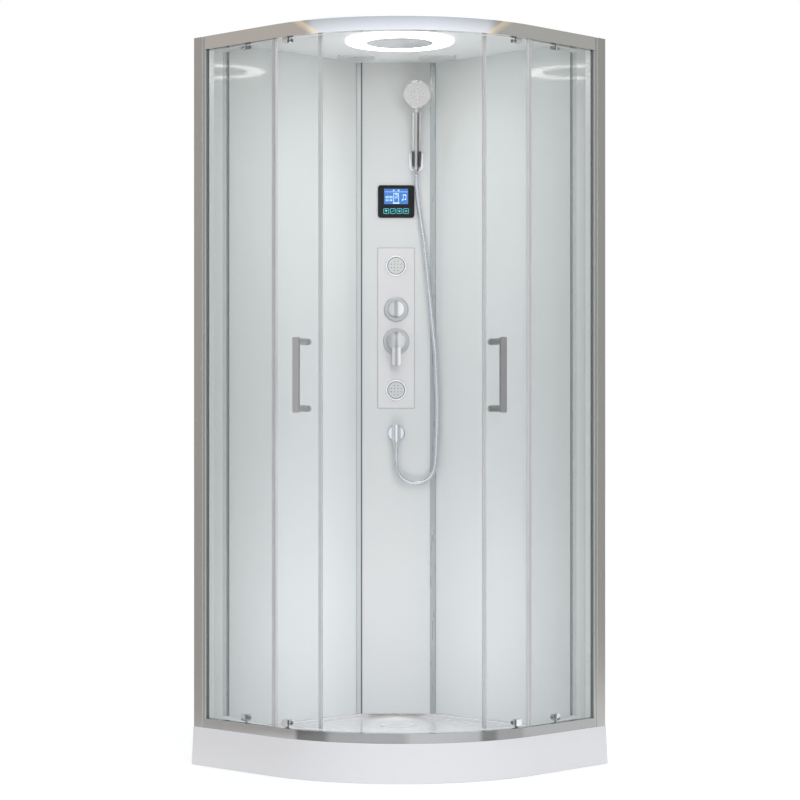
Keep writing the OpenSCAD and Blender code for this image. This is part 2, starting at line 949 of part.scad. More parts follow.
// The face of a jet: a slice of a ball that tips in its ring
module jet_face(z) {
    nozzle_rows = [2, 4, 4, 2];
    color("whitesmoke")
        facing_front(0, jet_y, z)
            difference() {
                intersection() {
                    sphere(r = jet_r);
                    translate([0, 0, -4])
                        cylinder(r = jet_r + 1, h = 8);
                }
                for (row = [0:3], k = [0:nozzle_rows[row] - 1])
                    translate([(k - (nozzle_rows[row] - 1) / 2) * 10.5, (1.5 - row) * 10.5, 2.5])
                        cylinder(r = 1.3, h = 3);
            }
}

module jet_top() { jet_face(jet_top_z); }
module jet_low() { jet_face(jet_low_z); }

module diverter_knob() {
    knob_y = plate_y - 6 - run_gap;
    knob_d = 22;
    color("silver")
        facing_front(0, knob_y, diverter_z) {
            cylinder(r1 = diverter_r + 1, r2 = diverter_r, h = 4);
            translate([0, 0, 4])
                cylinder(r = diverter_r, h = knob_d - 12);
            translate([-5, -diverter_r + 2, 4])
                cube([10, 2 * diverter_r + 2, knob_d - 4]);
            translate([0, 0, -30])
                cylinder(r = diverter_stem_r, h = 31);
        }
}

module mixer_spindle() {
    color("dimgray")
        facing_front(0, mixer_y, mixer_z)
            difference() {
                union() {
                    translate([0, 0, -46])
                        cylinder(r = spindle_r, h = 41);
                    // the head that the lever rocks on
                    rotate([0, 90, 0])
                        translate([0, 0, -6])
                            cylinder(r = 9, h = 12);
                }
                rotate([0, 90, 0])
                    translate([0, 0, -10])
                        cylinder(r = 3, h = 20);
            }
}

module mixer_lever() {
    shell = 3.5;
    color("silver")
        facing_front(0, mixer_y, mixer_z) {
            difference() {
                union() {
                    intersection() {
                        sphere(r = dome_r);
                        cylinder(r = dome_r + 1, h = dome_r + 1);
                    }
                    // the lever, from the dome down to its tip
                    translate([0, -lever_len / 2, 9])
                        linear_extrude(13)
                            rounded_rect(28, lever_len, 9);
                }
                sphere(r = dome_r - shell);
            }
            // the pin that the lever rocks on, in lugs inside the dome
            rotate([0, 90, 0])
                translate([0, 0, -12])
                    cylinder(r = 3 - bore_gap, h = 24);
            for (m = [-1, 1])
                translate([m * 9.5 - 2.5, -4, -2])
                    cube([5, 8, dome_r - shell + 2]);
        }
}

// Water works behind the column

valve_y = col_y + col_t + 6;
valve_d = 44;
valve_w = 62;
pipe_y = valve_y + valve_d / 2;
pipe_over = 22; // height of the rain shower's pipe above the rail
stub_len = 6; // length of the nipples behind the jets
rain_stub = 18; // length of the rain shower's nipple, from its axis

module valve_body() {
    color("darkgoldenrod") {
        difference() {
            union() {
                translate([-valve_w / 2, valve_y, mixer_z - valve_end])
                    cube([valve_w, valve_d, diverter_z - mixer_z + 2 * valve_end]);
                facing_front(0, valve_y, mixer_z)
                    cylinder(r = 24, h = 6);
                facing_front(0, valve_y, diverter_z)
                    cylinder(r = 18, h = 6);
            }
            facing_front(0, valve_y + 20, mixer_z)
                cylinder(r = spindle_r + bore_gap, h = 40);
            facing_front(0, valve_y + 20, diverter_z)
                cylinder(r = diverter_stem_r + bore_gap, h = 40);
        }
        for (m = [-1, 1])
            translate([m * inlet_x, pipe_y, mixer_z - valve_end - inlet_len])
                cylinder(r = inlet_r, h = inlet_len);
    }
}

inlet_r = 10.475;
inlet_len = 18;
inlet_x = 19;
pipe_r = 6;
elbow_r = 9;
pipe_x = 17;

// Pipes from the valve to the jets, the outlet and the rain shower
module water_pipes() {
    top_z = diverter_z + valve_end;
    over_z = cabin_h + pipe_over;
    stub_y = plate_y + jet_cup_d + stub_len;
    color("gray") {
        // to the rain shower, up the column and over the roof
        pipe_run([
            [pipe_x, pipe_y, top_z], [pipe_x, pipe_y, over_z],
            [0, pipe_y - 40, over_z], [0, ring_y + rain_stub, over_z]
        ]);
        // to the upper jet
        pipe_run([
            [-pipe_x, pipe_y, top_z], [-pipe_x, pipe_y, jet_top_z],
            [0, pipe_y, jet_top_z], [0, stub_y, jet_top_z]
        ]);
        // to the lower jet and the hose outlet
        pipe_run([
            [0, pipe_y, mixer_z - valve_end], [0, pipe_y, outlet_z],
            [0, col_y + outlet_stub, outlet_z]
        ]);
        pipe_run([[0, stub_y, jet_low_z], [0, pipe_y, jet_low_z], [0, pipe_y, jet_low_z - 15]]);
    }
}

// A run of pipe through points, with a fitting at each turn
module pipe_run(points) {
    for (i = [0:len(points) - 2])
        pipe_between(points[i], points[i + 1]);
    for (i = [1:1:len(points) - 2])
        translate(points[i])
            sphere(r = elbow_r, $fn = 32);
}

module pipe_between(p, q) {
    d = q - p;
    len = norm(d);
    translate(p)
        rotate([0, acos(d[2] / len), atan2(d[1], d[0])])
            cylinder(r = pipe_r, h = len);
}

module hose_outlet() {
    body_r = 14.5;
    color("silver") {
        facing_front(0, col_y, outlet_z) {
            cylinder(r = 29, h = 6);
            translate([0, 0, 6])
                cylinder(r1 = 29, r2 = 24, h = 4);
            translate([0, 0, -outlet_stub])
                cylinder(r = inlet_r, h = outlet_stub + 1);
            cylinder(r = 12, h = col_y - outlet_y);
        }
        translate([0, outlet_y, outlet_z - outlet_body_h / 2])
            cylinder(r = body_r, h = outlet_body_h);
        translate([0, outlet_y, outlet_z - outlet_body_h / 2 - outlet_nut_h])
            cylinder(r1 = hose_r + 1, r2 = nut_r + 1, h = outlet_nut_h);
    }
}

// Hand shower and its hose

module hand_holder() {
    wall = 5;
    color("silver")
        difference() {
            union() {
                // the plate on the column
                facing_front(hand_x, col_y, hand_z - 4)
                    linear_extrude(7)
                        rounded_rect(46, 62, 12);
                // the arm from the plate to the cradle
                translate([hand_x - 9, hand_y + 8, hand_z - 18])
                    cube([18, col_y - hand_y - 10, 30]);
                at_hand()
                    translate([0, 0, ring_low])
                        cylinder(r1 = cone_r + wall - 1, r2 = cone_r + wall + 2, h = ring_top - ring_low);
            }
            at_hand() {
                translate([0, 0, ring_low - cut])
                    cylinder(r = cone_r + run_gap, h = ring_top - ring_low + 2 * cut);
                // the mouth that the hose passes through
                translate([-hose_r - 1.5, -40, ring_low - cut])
                    cube([2 * hose_r + 3, 40, ring_top - ring_low + 2 * cut]);
            }
        }
}

module hand_shower() {
    color("silver")
        at_hand() {
            // the foot in the holder, and the hose's nut
            translate([0, 0, ring_top + run_gap - cone_len])
                cylinder(r1 = cone_r - 1, r2 = cone_r, h = cone_len);
            translate([0, 0, nut_low])
                cylinder(r1 = hose_r + 1, r2 = nut_r, h = ring_top + run_gap - cone_len - nut_low);
            // the handle, its neck and the head
            translate([0, 0, ring_top + run_gap])
                cylinder(r1 = hand_r, r2 = hand_top_r, h = neck_z - ring_top - run_gap);
            translate([0, 0, neck_z])
                cylinder(r = 5.5, h = head_z - head_r - neck_z + 5);
            translate([0, -head_ahead, head_z])
                rotate([90 + head_tilt - hand_tilt, 0, 0]) {
                    translate([0, 0, -2])
                        cylinder(r = head_r, h = 12);
                    translate([0, 0, -12])
                        cylinder(r1 = head_r - 18, r2 = head_r, h = 10);
                    translate([0, 0, 10])
                        cylinder(r = head_r - 3, h = 2);
                }
        }
}

// The hose hangs from the hand shower's nut, past the column's edge, and back up to its outlet
hose_low = nut_low - 0.1; // the hose's end, just below the hand shower's nut
hose_start = [hand_x, hand_y - hose_low * sin(hand_tilt), hand_z + hose_low * cos(hand_tilt)];
hose_end = [0, outlet_y, outlet_z - outlet_body_h / 2 - outlet_nut_h];
hose_dir = [0, sin(hand_tilt), -cos(hand_tilt)];
hose_straight = 15; // length of each straight end
// Route between the straight ends, chosen by hand: sideways place, distance from the column's face, height
hose_route = [
    [68, 20.5, 1800], [73, 19.5, 1750], [80, 18.5, 1700], [90, 18.5, 1635], [97, 18.5, 1570],
    [103, 18.5, 1505], [110, 18.5, 1440], [116, 19.5, 1375], [122, 20.5, 1320], [127, 21.5, 1265],
    [130, 22.5, 1200], [132.5, 23.5, 1130], [133, 24.3, 1075], [132.5, 24.9, 1022], [130, 25.5, 970],
    [129, 26, 931], [124, 26.5, 893], [114.5, 27.2, 871.7], [98, 28, 855.6], [76.7, 28.8, 846.5],
    [53.6, 29.3, 845.7], [31.8, 29.5, 853.3], [14.1, 29.5, 868.2], [3.1, 29.8, 888.5], [0.2, 30, 910]
];
hose_points = concat(
    [hose_start, hose_start + hose_straight * hose_dir, hose_start + (hose_straight + 9) * hose_dir],
    [for (p = hose_route) [p[0], col_y - p[1], p[2]]],
    [hose_end - [0, 0, hose_straight + 9], hose_end - [0, 0, hose_straight], hose_end]
);
hose_bore = 4;
hose_sides = 8;

// Catmull-Rom curve through the route: the point at parameter t, and the ends repeated
hose_last = len(hose_points) - 1;
function hose_knot(i) = hose_points[max(0, min(hose_last, i))];
function hose_at(t) =
    let (i = min(floor(t), hose_last - 1), f = t - i,
        a = hose_knot(i - 1), b = hose_knot(i), d = hose_knot(i + 1), e = hose_knot(i + 2))
    0.5 * ((2 * b) + (d - a) * f + (2 * a - 5 * b + 4 * d - e) * f * f + (3 * b - 3 * d + e - a) * f * f * f);

// Length along the curve, as a table from length to parameter
hose_steps = 8;
hose_fine = [for (k = [0:hose_last * hose_steps]) hose_at(k / hose_steps)];
function run_length(k, total = 0, table = [[0, 0]]) =
    k > hose_last * hose_steps ? table
    : let (next = total + norm(hose_fine[k] - hose_fine[k - 1]))
        run_length(k + 1, next, concat(table, [[next, k / hose_steps]]));
hose_table = run_length(1);
hose_length = hose_table[len(hose_table) - 1][0];
function hose_point(s) = hose_at(lookup(s, hose_table));
function hose_heading(s) =
    let (d = hose_point(min(s + 1, hose_length)) - hose_point(max(s - 1, 0)))
    d / norm(d);

// Rings along the hose: length along it and radius, straight smooth ends and two rings a rib
rib_pitch = (hose_length - 2 * hose_r) / hose_ribs;
rib_depth = 1.2;
outer_rings = concat(
    [[0, hose_r - rib_depth]],
    [for (k = [0:hose_ribs - 1], j = [0, 1])
        [hose_r + (k + 0.25 + 0.5 * j) * rib_pitch, j == 0 ? hose_r : hose_r - rib_depth]],
    [[hose_length, hose_r - rib_depth]]
);
bore_rings = [for (k = [0:60]) [hose_length * (1 - k / 60), hose_bore]];
hose_rings = concat(outer_rings, bore_rings);

// The hose lies nearly in the plane y = const, so +Y carries its rings without twist
function ring_points(ring) =
    let (p = hose_point(ring[0]), d = hose_heading(ring[0]),
        u = cross(d, [0, 1, 0]) / norm(cross(d, [0, 1, 0])), w = cross(u, d))
    [for (k = [0:hose_sides - 1])
        p + ring[1] * (cos(k * 360 / hose_sides) * u + sin(k * 360 / hose_sides) * w)];

module shower_hose() {
    n = len(hose_rings);
    points = [for (ring = hose_rings) each ring_points(ring)];
    faces = [for (i = [0:n - 1], k = [0:hose_sides - 1])
        let (j = (i + 1) % n, m = (k + 1) % hose_sides)
        each [
            [i * hose_sides + k, i * hose_sides + m, j * hose_sides + m],
            [i * hose_sides + k, j * hose_sides + m, j * hose_sides + k]
        ]];
    echo(hose_length = hose_length);
    color("silver")
        polyhedron(points, faces, convexity = 10);
}

// Roof

// The roof's screws, over the middle of the rail's top
module at_roof_screws() {
    screw_reach = rail_in + 6;
    at_corner()
        for (a = [8, 30, 60, 82])
            translate([c + screw_reach * cos(a), c + screw_reach * sin(a), cabin_h])
                children();
    at_corner()
        for (m = [0, 1])
            mirror([m, -m, 0])
                translate([c + screw_reach, c / 3, cabin_h])
                    children();
}

module roof() {
    roof_r = frame_r - roof_set;
    fold_h = 16;
    color("white")
        difference() {
            union() {
                at_corner()
                    translate([0, 0, cabin_h])
                        linear_extrude(roof_t)
                            plan(roof_r);
                // the stiffening fold round the roof's edge
                at_corner()
                    translate([0, 0, cabin_h])
                        linear_extrude(fold_h)
                            difference() {
                                plan(roof_r - 30);
                                intersection() {
                                    plan(roof_r - 34);
                                    translate([4, 4])
                                        square(side);
                                }
                            }
            }
            for (m = [-1, 1])
                translate([m * grille_x, grille_y, cabin_h - cut])
                    cylinder(r = fan_r + 2.2, h = 40);
            translate([0, ring_y, cabin_h - cut])
                cylinder(r = 11, h = 40);
            translate([pipe_x, pipe_y, cabin_h - cut])
                cylinder(r = pipe_r + 1, h = 10);
            at_roof_screws()
                translate([0, 0, -cut])
                    cylinder(r = screw_r + 0.3, h = 10);
        }
}

module ring_light() {
    color("white")
        translate([0, ring_y, cabin_h - ring_h])
            difference() {
                union() {
                    translate([0, 0, 3])
                        cylinder(r = ring_r, h = ring_h - 3);
                    cylinder(r1 = ring_r - 3, r2 = ring_r, h = 3);
                }
                translate([0, 0, -cut])
                    cylinder(r = rain_r + 0.5, h = 40);
            }
}

module rain_shower() {
    color("silver")
        translate([0, ring_y, cabin_h]) {
            translate([0, 0, -ring_h + 0.5])
                cylinder(r = rain_r, h = ring_h - 0.5);
            cylinder(r = 10.5, h = pipe_over + 8);
            translate([0, 0, pipe_over])
                rotate([-90, 0, 0])
                    cylinder(r = 8, h = rain_stub);
        }
}

module fan_grille() {
    slots = 16;
    color("whitesmoke")
        translate([grille_x * -1, grille_y, cabin_h]) {
            difference() {
                translate([0, 0, -4])
                    cylinder(r = grille_r, h = 4);
                for (k = [0:slots - 1])
                    rotate([0, 0, k * 360 / slots])
                        translate([18, -2, -5])
                            cube([fan_r - 22, 4, 10]);
            }
            difference() {
                union() {
                    translate([0, 0, -1])
                        tube(fan_r + 2, fan_r - 1, fan_h + 1);
                    for (k = [0:3])
                        rotate([0, 0, k * 90])
                            translate([0, -3, fan_h - 4])
                                cube([fan_r, 6, 4]);
                }
            }
            // the pin that the rotor turns on
            translate([0, 0, 3])
                cylinder(r = fan_pin_r, h = fan_h - 4);
            translate([0, 0, fan_h - 8])
                cylinder(r = 14, h = 4.01);
        }
}

module fan_rotor() {
    blades = 7;
    hub_z = 7;
    hub_h = fan_h - 8 - run_gap - hub_z;
    color("black")
        translate([grille_x * -1, grille_y, cabin_h + hub_z])
            difference() {
                union() {
                    cylinder(r = 15, h = hub_h);
                    intersection() {
                        translate([0, 0, 1])
                            cylinder(r = fan_r - 3, h = hub_h - 2);
                        for (k = [0:blades - 1])
                            rotate([0, 0, k * 360 / blades])
                                translate([12, 0, hub_h / 2])
                                    rotate([38, 0, 0])
                                        translate([0, -1, -14])
                                            cube([fan_r, 2, 28]);
                    }
                }
                translate([0, 0, -cut])
                    cylinder(r = fan_pin_r + bore_gap, h = hub_h + 2 * cut);
            }
}

module speaker() {
    color("whitesmoke")
        translate([grille_x, grille_y, cabin_h]) {
            difference() {
                translate([0, 0, -4])
                    cylinder(r = grille_r, h = 4);
                for (ring = [1:4], k = [0:ring * 6 - 1])
                    rotate([0, 0, k * 360 / (ring * 6)])
                        translate([ring * 10, 0, -5])
                            cylinder(r = 2, h = 3.5);
            }
            translate([0, 0, -1])
                cylinder(r = fan_r, h = roof_t + 1);
            translate([0, 0, roof_t])
                cylinder(r1 = fan_r, r2 = 24, h = 16);
            translate([0, 0, roof_t + 16])
                cylinder(r = 24, h = 12);
        }
}

module control_box() {
    box = [150, 90, 38];
    color("lightgray")
        translate([grille_x - box[0] / 2 - 20, grille_y - 190, cabin_h + roof_t]) {
            cube(box);
            translate([-12, 10, 0])
                cube([box[0] + 24, 14, 3]);
        }
}

module screws() {
    color("silver") {
        at_roof_screws() {
            translate([0, 0, -3])
                cylinder(r = screw_r, h = 3 + roof_t);
            translate([0, 0, roof_t])
                cylinder(r1 = 5, r2 = 3.5, h = 2.5);
        }
        // pairs under the ceiling grilles' edge
        for (m = [-1, 1])
            translate([m * (grille_x + 54), grille_y - 42, cabin_h - 2.5])
                cylinder(r1 = 3, r2 = 4, h = 2.5);
    }
}

tray();
tray_frame();
tray_feet();
drain_trap();
drain_cover();
bottom_rail();
top_rail();
post_left();
post_right();
fixed_glass_left();
fixed_glass_right();
glazing_gaskets();
fixed_seals();
door_glass_left();
door_glass_right();
door_seal_left();
door_seal_right();
door_fin_left();
door_fin_right();
handle_left();
handle_right();
roller_blocks_left();
roller_blocks_right();
roller_knobs_left();
roller_knobs_right();
wheel_left_1();
wheel_left_2();
wheel_left_3();
wheel_left_4();
wheel_right_1();
wheel_right_2();
wheel_right_3();
wheel_right_4();
wall_left();
wall_right();
column_strips();
column();
control_plate();
display_panel();
control_rings();
jet_top();
jet_low();
diverter_knob();
mixer_spindle();
mixer_lever();
valve_body();
water_pipes();
hose_outlet();
shower_hose();
hand_holder();
hand_shower();
roof();
ring_light();
rain_shower();
fan_grille();
fan_rotor();
speaker();
control_box();
screws();
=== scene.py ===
import math

import bmesh
import bpy
from mathutils import Matrix, Vector


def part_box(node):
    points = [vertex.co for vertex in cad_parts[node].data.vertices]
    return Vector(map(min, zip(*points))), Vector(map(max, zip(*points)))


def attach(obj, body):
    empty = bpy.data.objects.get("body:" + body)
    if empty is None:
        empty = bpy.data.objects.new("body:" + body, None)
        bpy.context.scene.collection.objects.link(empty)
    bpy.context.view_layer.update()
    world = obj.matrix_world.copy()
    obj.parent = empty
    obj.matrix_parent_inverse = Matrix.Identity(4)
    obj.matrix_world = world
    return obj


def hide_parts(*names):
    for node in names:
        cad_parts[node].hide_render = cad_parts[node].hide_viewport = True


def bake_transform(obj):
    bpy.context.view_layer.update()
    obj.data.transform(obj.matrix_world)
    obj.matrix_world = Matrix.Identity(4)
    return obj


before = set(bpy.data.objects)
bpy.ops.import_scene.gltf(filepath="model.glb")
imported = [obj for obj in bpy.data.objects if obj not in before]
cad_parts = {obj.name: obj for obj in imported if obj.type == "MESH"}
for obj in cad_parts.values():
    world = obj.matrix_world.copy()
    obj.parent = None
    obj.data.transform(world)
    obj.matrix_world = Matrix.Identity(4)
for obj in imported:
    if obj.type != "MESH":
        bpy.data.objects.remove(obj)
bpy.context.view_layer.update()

bl_info = {
    "name": "Shower Cabin",
    "version": (1, 0, 0),
    "blender": (4, 5, 0),
    "location": "View3D > Sidebar > Shower Cabin",
    "description": "Dresses the packed shower cabin with its finished pieces and materials",
    "category": "Object",
}

MM = 0.001

# Places in metres: the room's corner, the faces of the column and the display, the hand shower's holder,
# its head seen from there, the jets, and the stretch between them that has the mixer and the diverter
CORNER_Y = 0.522487
COLUMN_Y = CORNER_Y - 0.146
DISPLAY_Y = COLUMN_Y - 0.006
HOLDER = (0.065, 0.344487, 1.898)
HAND_LEAN = math.radians(10)
HEAD_PLACE = (0, -0.014, 0.213)
HEAD_TURN = math.radians(108)
JET_HEIGHTS = {"jet_top": 1.553, "jet_low": 1.148}
BETWEEN_JETS = (1.2, 1.5)

# Widths in metres of the edges that have their own finish; the strip's edge is a painted dark reflection line
STRIP_REFLECTION_LINE = 0.0045
FIN_LIP = 0.0065
SEAL_EDGE = 0.0085

# Factors on a colour: a finish's second shade, a metal's second shade, the tray's floor lightened as painted
# light
SECOND_SHADE = 0.94
METAL_SHADE = 0.93
FLOOR_PAINTED_LIGHT = 1.17


# Selecting and joining


def deselect():
    if bpy.context.object and bpy.context.object.mode != "OBJECT":
        bpy.ops.object.mode_set(mode="OBJECT")
    bpy.ops.object.select_all(action="DESELECT")


def take(obj):
    deselect()
    obj.select_set(True)
    bpy.context.view_layer.objects.active = obj


def edit(obj, mode):
    take(obj)
    bpy.ops.object.mode_set(mode="EDIT")
    bpy.ops.mesh.select_mode(type=mode)
    bpy.ops.mesh.select_all(action="DESELECT")
    return bmesh.from_edit_mesh(obj.data)


def leave():
    bpy.ops.object.mode_set(mode="OBJECT")


def named(name):
    obj = bpy.context.object
    obj.name = name
    obj.data.name = name
    return obj


def bake_place(obj):
    take(obj)
    bpy.ops.object.transform_apply(location=True, rotation=True, scale=True)
    return obj


def smooth(obj, degrees=35):
    """Smooth shading whose normals follow the larger faces, so that flat faces mirror as flat ones."""
    take(obj)
    bpy.ops.object.shade_smooth_by_angle(angle=math.radians(degrees))
    weighted = obj.modifiers.new("Normals", "WEIGHTED_NORMAL")
    weighted.mode = "FACE_AREA"
    weighted.weight = 60
    weighted.keep_sharp = True
    bpy.ops.object.modifier_apply(modifier=weighted.name)
    return obj


def bevel(obj, width, segments):
    take(obj)
    rounding = obj.modifiers.new("Rounding", "BEVEL")
    rounding.width = width
    rounding.segments = segments
    rounding.limit_method = "ANGLE"
    rounding.angle_limit = math.radians(30)
    bpy.ops.object.modifier_apply(modifier=rounding.name)


def join(objs, name):
    deselect()
    for obj in objs:
        obj.select_set(True)
    bpy.context.view_layer.objects.active = objs[0]
    bpy.ops.object.join()
    return named(name)


def copy_of(node, name):
    """A copy of a CAD node's mesh with its loose triangles merged."""
    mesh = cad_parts[node].data.copy()
    mesh.materials.clear()
    obj = bpy.data.objects.new(name, mesh)
    bpy.context.scene.collection.objects.link(obj)
    edit(obj, "VERT")
    bpy.ops.mesh.select_all(action="SELECT")
    bpy.ops.mesh.remove_doubles(threshold=0.00001)
    bpy.ops.mesh.dissolve_limited(angle_limit=math.radians(0.4))
    leave()
    return obj


def finish(obj, material, body, slot, *nodes):
    """Gives a piece its material and its body, and hides the nodes that it stands for. The slot is not used.
    """
    obj.data.materials.append(material)
    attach(obj, body)
    if nodes:
        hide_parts(*nodes)
    return obj


def dress(node, material, body, slot, width, segments=2):
    """Replaces a CAD node by a copy with rounded edges and smooth shading."""
    obj = copy_of(node, node + "_finished")
    if width:
        bevel(obj, width * MM, segments)
    smooth(obj)
    return finish(obj, material, body, slot, node)


def second_finish(obj, material, chosen):
    """Another finish on the faces that chosen(centre, normal) picks."""
    obj.data.materials.append(material)
    for face in obj.data.polygons:
        if chosen(face.center, face.normal):
            face.material_index = len(obj.data.materials) - 1


def cut_across(obj, x):
    """Cuts the mesh's faces along the plane at x, so that each side can have its own finish."""
    edit(obj, "FACE")
    bpy.ops.mesh.select_all(action="SELECT")
    bpy.ops.mesh.bisect(plane_co=(x, 0, 0), plane_no=(1, 0, 0))
    leave()


def turned(name, profile, steps):
    """A solid of revolution about Z: profile is a list of (radius, height) in mm, from axis to axis."""
    mesh = bpy.data.meshes.new(name)
    points = [(r * MM, 0, z * MM) for r, z in profile]
    mesh.from_pydata(points, [(i, i + 1) for i in range(len(points) - 1)], [])
    obj = bpy.data.objects.new(name, mesh)
    bpy.context.scene.collection.objects.link(obj)
    edit(obj, "VERT")
    bpy.ops.mesh.select_all(action="SELECT")
    bpy.ops.mesh.spin(steps=steps, angle=2 * math.pi, center=(0, 0, 0), axis=(0, 0, 1))
    bpy.ops.mesh.select_all(action="SELECT")
    bpy.ops.mesh.remove_doubles(threshold=0.000005)
    bpy.ops.mesh.normals_make_consistent(inside=False)
    leave()
    return obj


def placed(obj, matrix):
    obj.matrix_world = matrix
    return bake_place(obj)


def copies(obj, name, matrices):
    """One object from copies of obj at each place."""
    out = []
    for matrix in matrices:
        twin = obj.copy()
        twin.data = obj.data.copy()
        bpy.context.scene.collection.objects.link(twin)
        twin.matrix_world = matrix
        out.append(bake_place(twin))
    bpy.data.objects.remove(obj)
    return join(out, name)


def facing(x, y, z):
    """Z of the piece points to the front, X to the right."""
    return Matrix.Translation((x, y, z)) @ Matrix.Rotation(math.pi / 2, 4, "X")


def plate(name, x, z, width, height, corner, proud=0.4, face=DISPLAY_Y):
    """A thin upright plate on the face at y, its corners rounded: sizes in mm."""
    sunk = 0.3
    deselect()
    bpy.ops.mesh.primitive_cube_add(size=1, location=(x * MM, face + (sunk - proud) / 2 * MM, z * MM))
    obj = named(name)
    obj.scale = (width * MM, (sunk + proud) * MM, height * MM)
    bake_place(obj)
    if corner:
        shape = edit(obj, "EDGE")
        for e in shape.edges:
            a, b = e.verts
            if abs(a.co.x - b.co.x) < 1e-7 and abs(a.co.z - b.co.z) < 1e-7:
                e.select = True
        bmesh.update_edit_mesh(obj.data)
        bpy.ops.mesh.bevel(offset=corner * MM, segments=4, affect="EDGES")
        leave()
    return obj


def outline(name, x, z, width, height, corner, line, face=DISPLAY_Y):
    """A rounded outline: a plate with its middle taken out."""
    obj = plate(name, x, z, width, height, corner, face=face)
    shape = edit(obj, "FACE")
    for f in shape.faces:
        f.select = abs(f.normal.y) > 0.9
    bmesh.update_edit_mesh(obj.data)
    bpy.ops.mesh.inset(thickness=line * MM, use_individual=True)
    bpy.ops.mesh.bridge_edge_loops()
    leave()
    return obj


def hand():
    """The middle of the hand shower's holder, with Z along the shower's handle."""
    return Matrix.Translation(HOLDER) @ Matrix.Rotation(HAND_LEAN, 4, "X")


# Materials


def feed(tree, made, inputs):
    """Sets a node's inputs: each is a constant, or the socket that feeds it."""
    for key, value in inputs.items():
        if isinstance(value, bpy.types.NodeSocket):
            tree.links.new(value, made.inputs[key])
        else:
            made.inputs[key].default_value = value
    return made


def node(tree, kind, inputs, **settings):
    """A new shader node with its settings and its inputs."""
    made = tree.nodes.new("ShaderNode" + kind)
    for key, value in settings.items():
        setattr(made, key, value)
    return feed(tree, made, inputs)


def noise(tree, place, scale, detail):
    return node(tree, "TexNoise", {"Scale": scale, "Detail": detail, "Vector": place}).outputs["Fac"]


def maths(tree, operation, *values):
    return node(tree, "Math", dict(enumerate(values)), operation=operation).outputs["Value"]


def share(tree, value, start, end, low=0, high=1, **settings):
    """From low to high as the value goes from start to end."""
    inputs = {"Value": value, "From Min": start, "From Max": end, "To Min": low, "To Max": high}
    return node(tree, "MapRange", inputs, **settings).outputs["Result"]


def mixed(tree, factor, a, b, **settings):
    """A colour between a and b."""
    made = node(tree, "Mix", {"Factor": factor, "A": a, "B": b}, data_type="RGBA", **settings)
    return made.outputs["Result"]


def ramp(tree, value, stops):
    """A colour ramp: each stop is a place with a grey or a colour."""
    made = node(tree, "ValToRGB", {"Fac": value})
    elements = made.color_ramp.elements
    for i, (at, colour) in enumerate(stops):
        stop = elements[i] if i < 2 else elements.new(at)
        stop.position = at
        stop.color = (*colour, 1) if isinstance(colour, tuple) else (colour, colour, colour, 1)
    return made.outputs["Color"]


def parts_of(tree, source="Object"):
    """The X, Y and Z of the tree's texture coordinate."""
    place = tree.nodes["Texture Coordinate"].outputs[source]
    return node(tree, "SeparateXYZ", {"Vector": place}).outputs


def surface(name, colour, other=None, metallic=0.0, rough=(0.3, 0.4), grain=40.0, stretch=(1, 1, 1),
            bump=0.0, bump_grain=200.0, coat=0.0, alpha=1.0, ior=1.5, blotch=4.0):
    """A finish: two shades mixed by a soft noise, a roughness that varies with a finer one, and a bump."""
    material = bpy.data.materials.new(name)
    material.use_nodes = True
    tree = material.node_tree
    place = node(tree, "TexCoord", {})
    turn = node(tree, "Mapping", {"Scale": stretch, "Vector": place.outputs["Object"]}).outputs["Vector"]
    second = (*(other or [c * SECOND_SHADE for c in colour]), 1)
    shader = feed(tree, tree.nodes["Principled BSDF"], {
        "Metallic": metallic, "Coat Weight": coat, "Coat Roughness": 0.05, "Alpha": alpha, "IOR": ior,
        "Base Color": mixed(tree, noise(tree, turn, blotch, 3.0), (*colour, 1), second),
        "Roughness": share(tree, noise(tree, turn, grain, 4.0), 0.3, 0.7, *rough),
    })
    if bump:
        relief = {"Strength": 0.4, "Distance": bump, "Height": noise(tree, turn, bump_grain, 2.0)}
        feed(tree, shader, {"Normal": node(tree, "Bump", relief).outputs["Normal"]})
    return material


def glow(name, colour, strength, **finish_words):
    """A lit surface."""
    material = surface(name, colour, **finish_words)
    tree = material.node_tree
    feed(tree, tree.nodes["Principled BSDF"], {"Emission Color": (*colour, 1), "Emission Strength": strength})
    return material


def painted_reflection_bands(name, middle, reach, stops, **finish_words):
    """Metal with painted reflections: greys that change from left to right, with stops from middle - reach to
    middle + reach.
    """
    material = surface(name, (0.5, 0.5, 0.5), stretch=(1, 1, 0.1), **finish_words)
    tree = material.node_tree
    darker = (SECOND_SHADE, SECOND_SHADE, SECOND_SHADE, 1)
    shade = feed(tree, tree.nodes["Mix"], {"A": (1, 1, 1, 1), "B": darker})
    reflection_greys = ramp(tree, share(tree, parts_of(tree)["X"], middle - reach, middle + reach), stops)
    tint = mixed(tree, 1, reflection_greys, shade.outputs["Result"], blend_type="MULTIPLY")
    feed(tree, tree.nodes["Principled BSDF"], {"Base Color": tint})
    return material


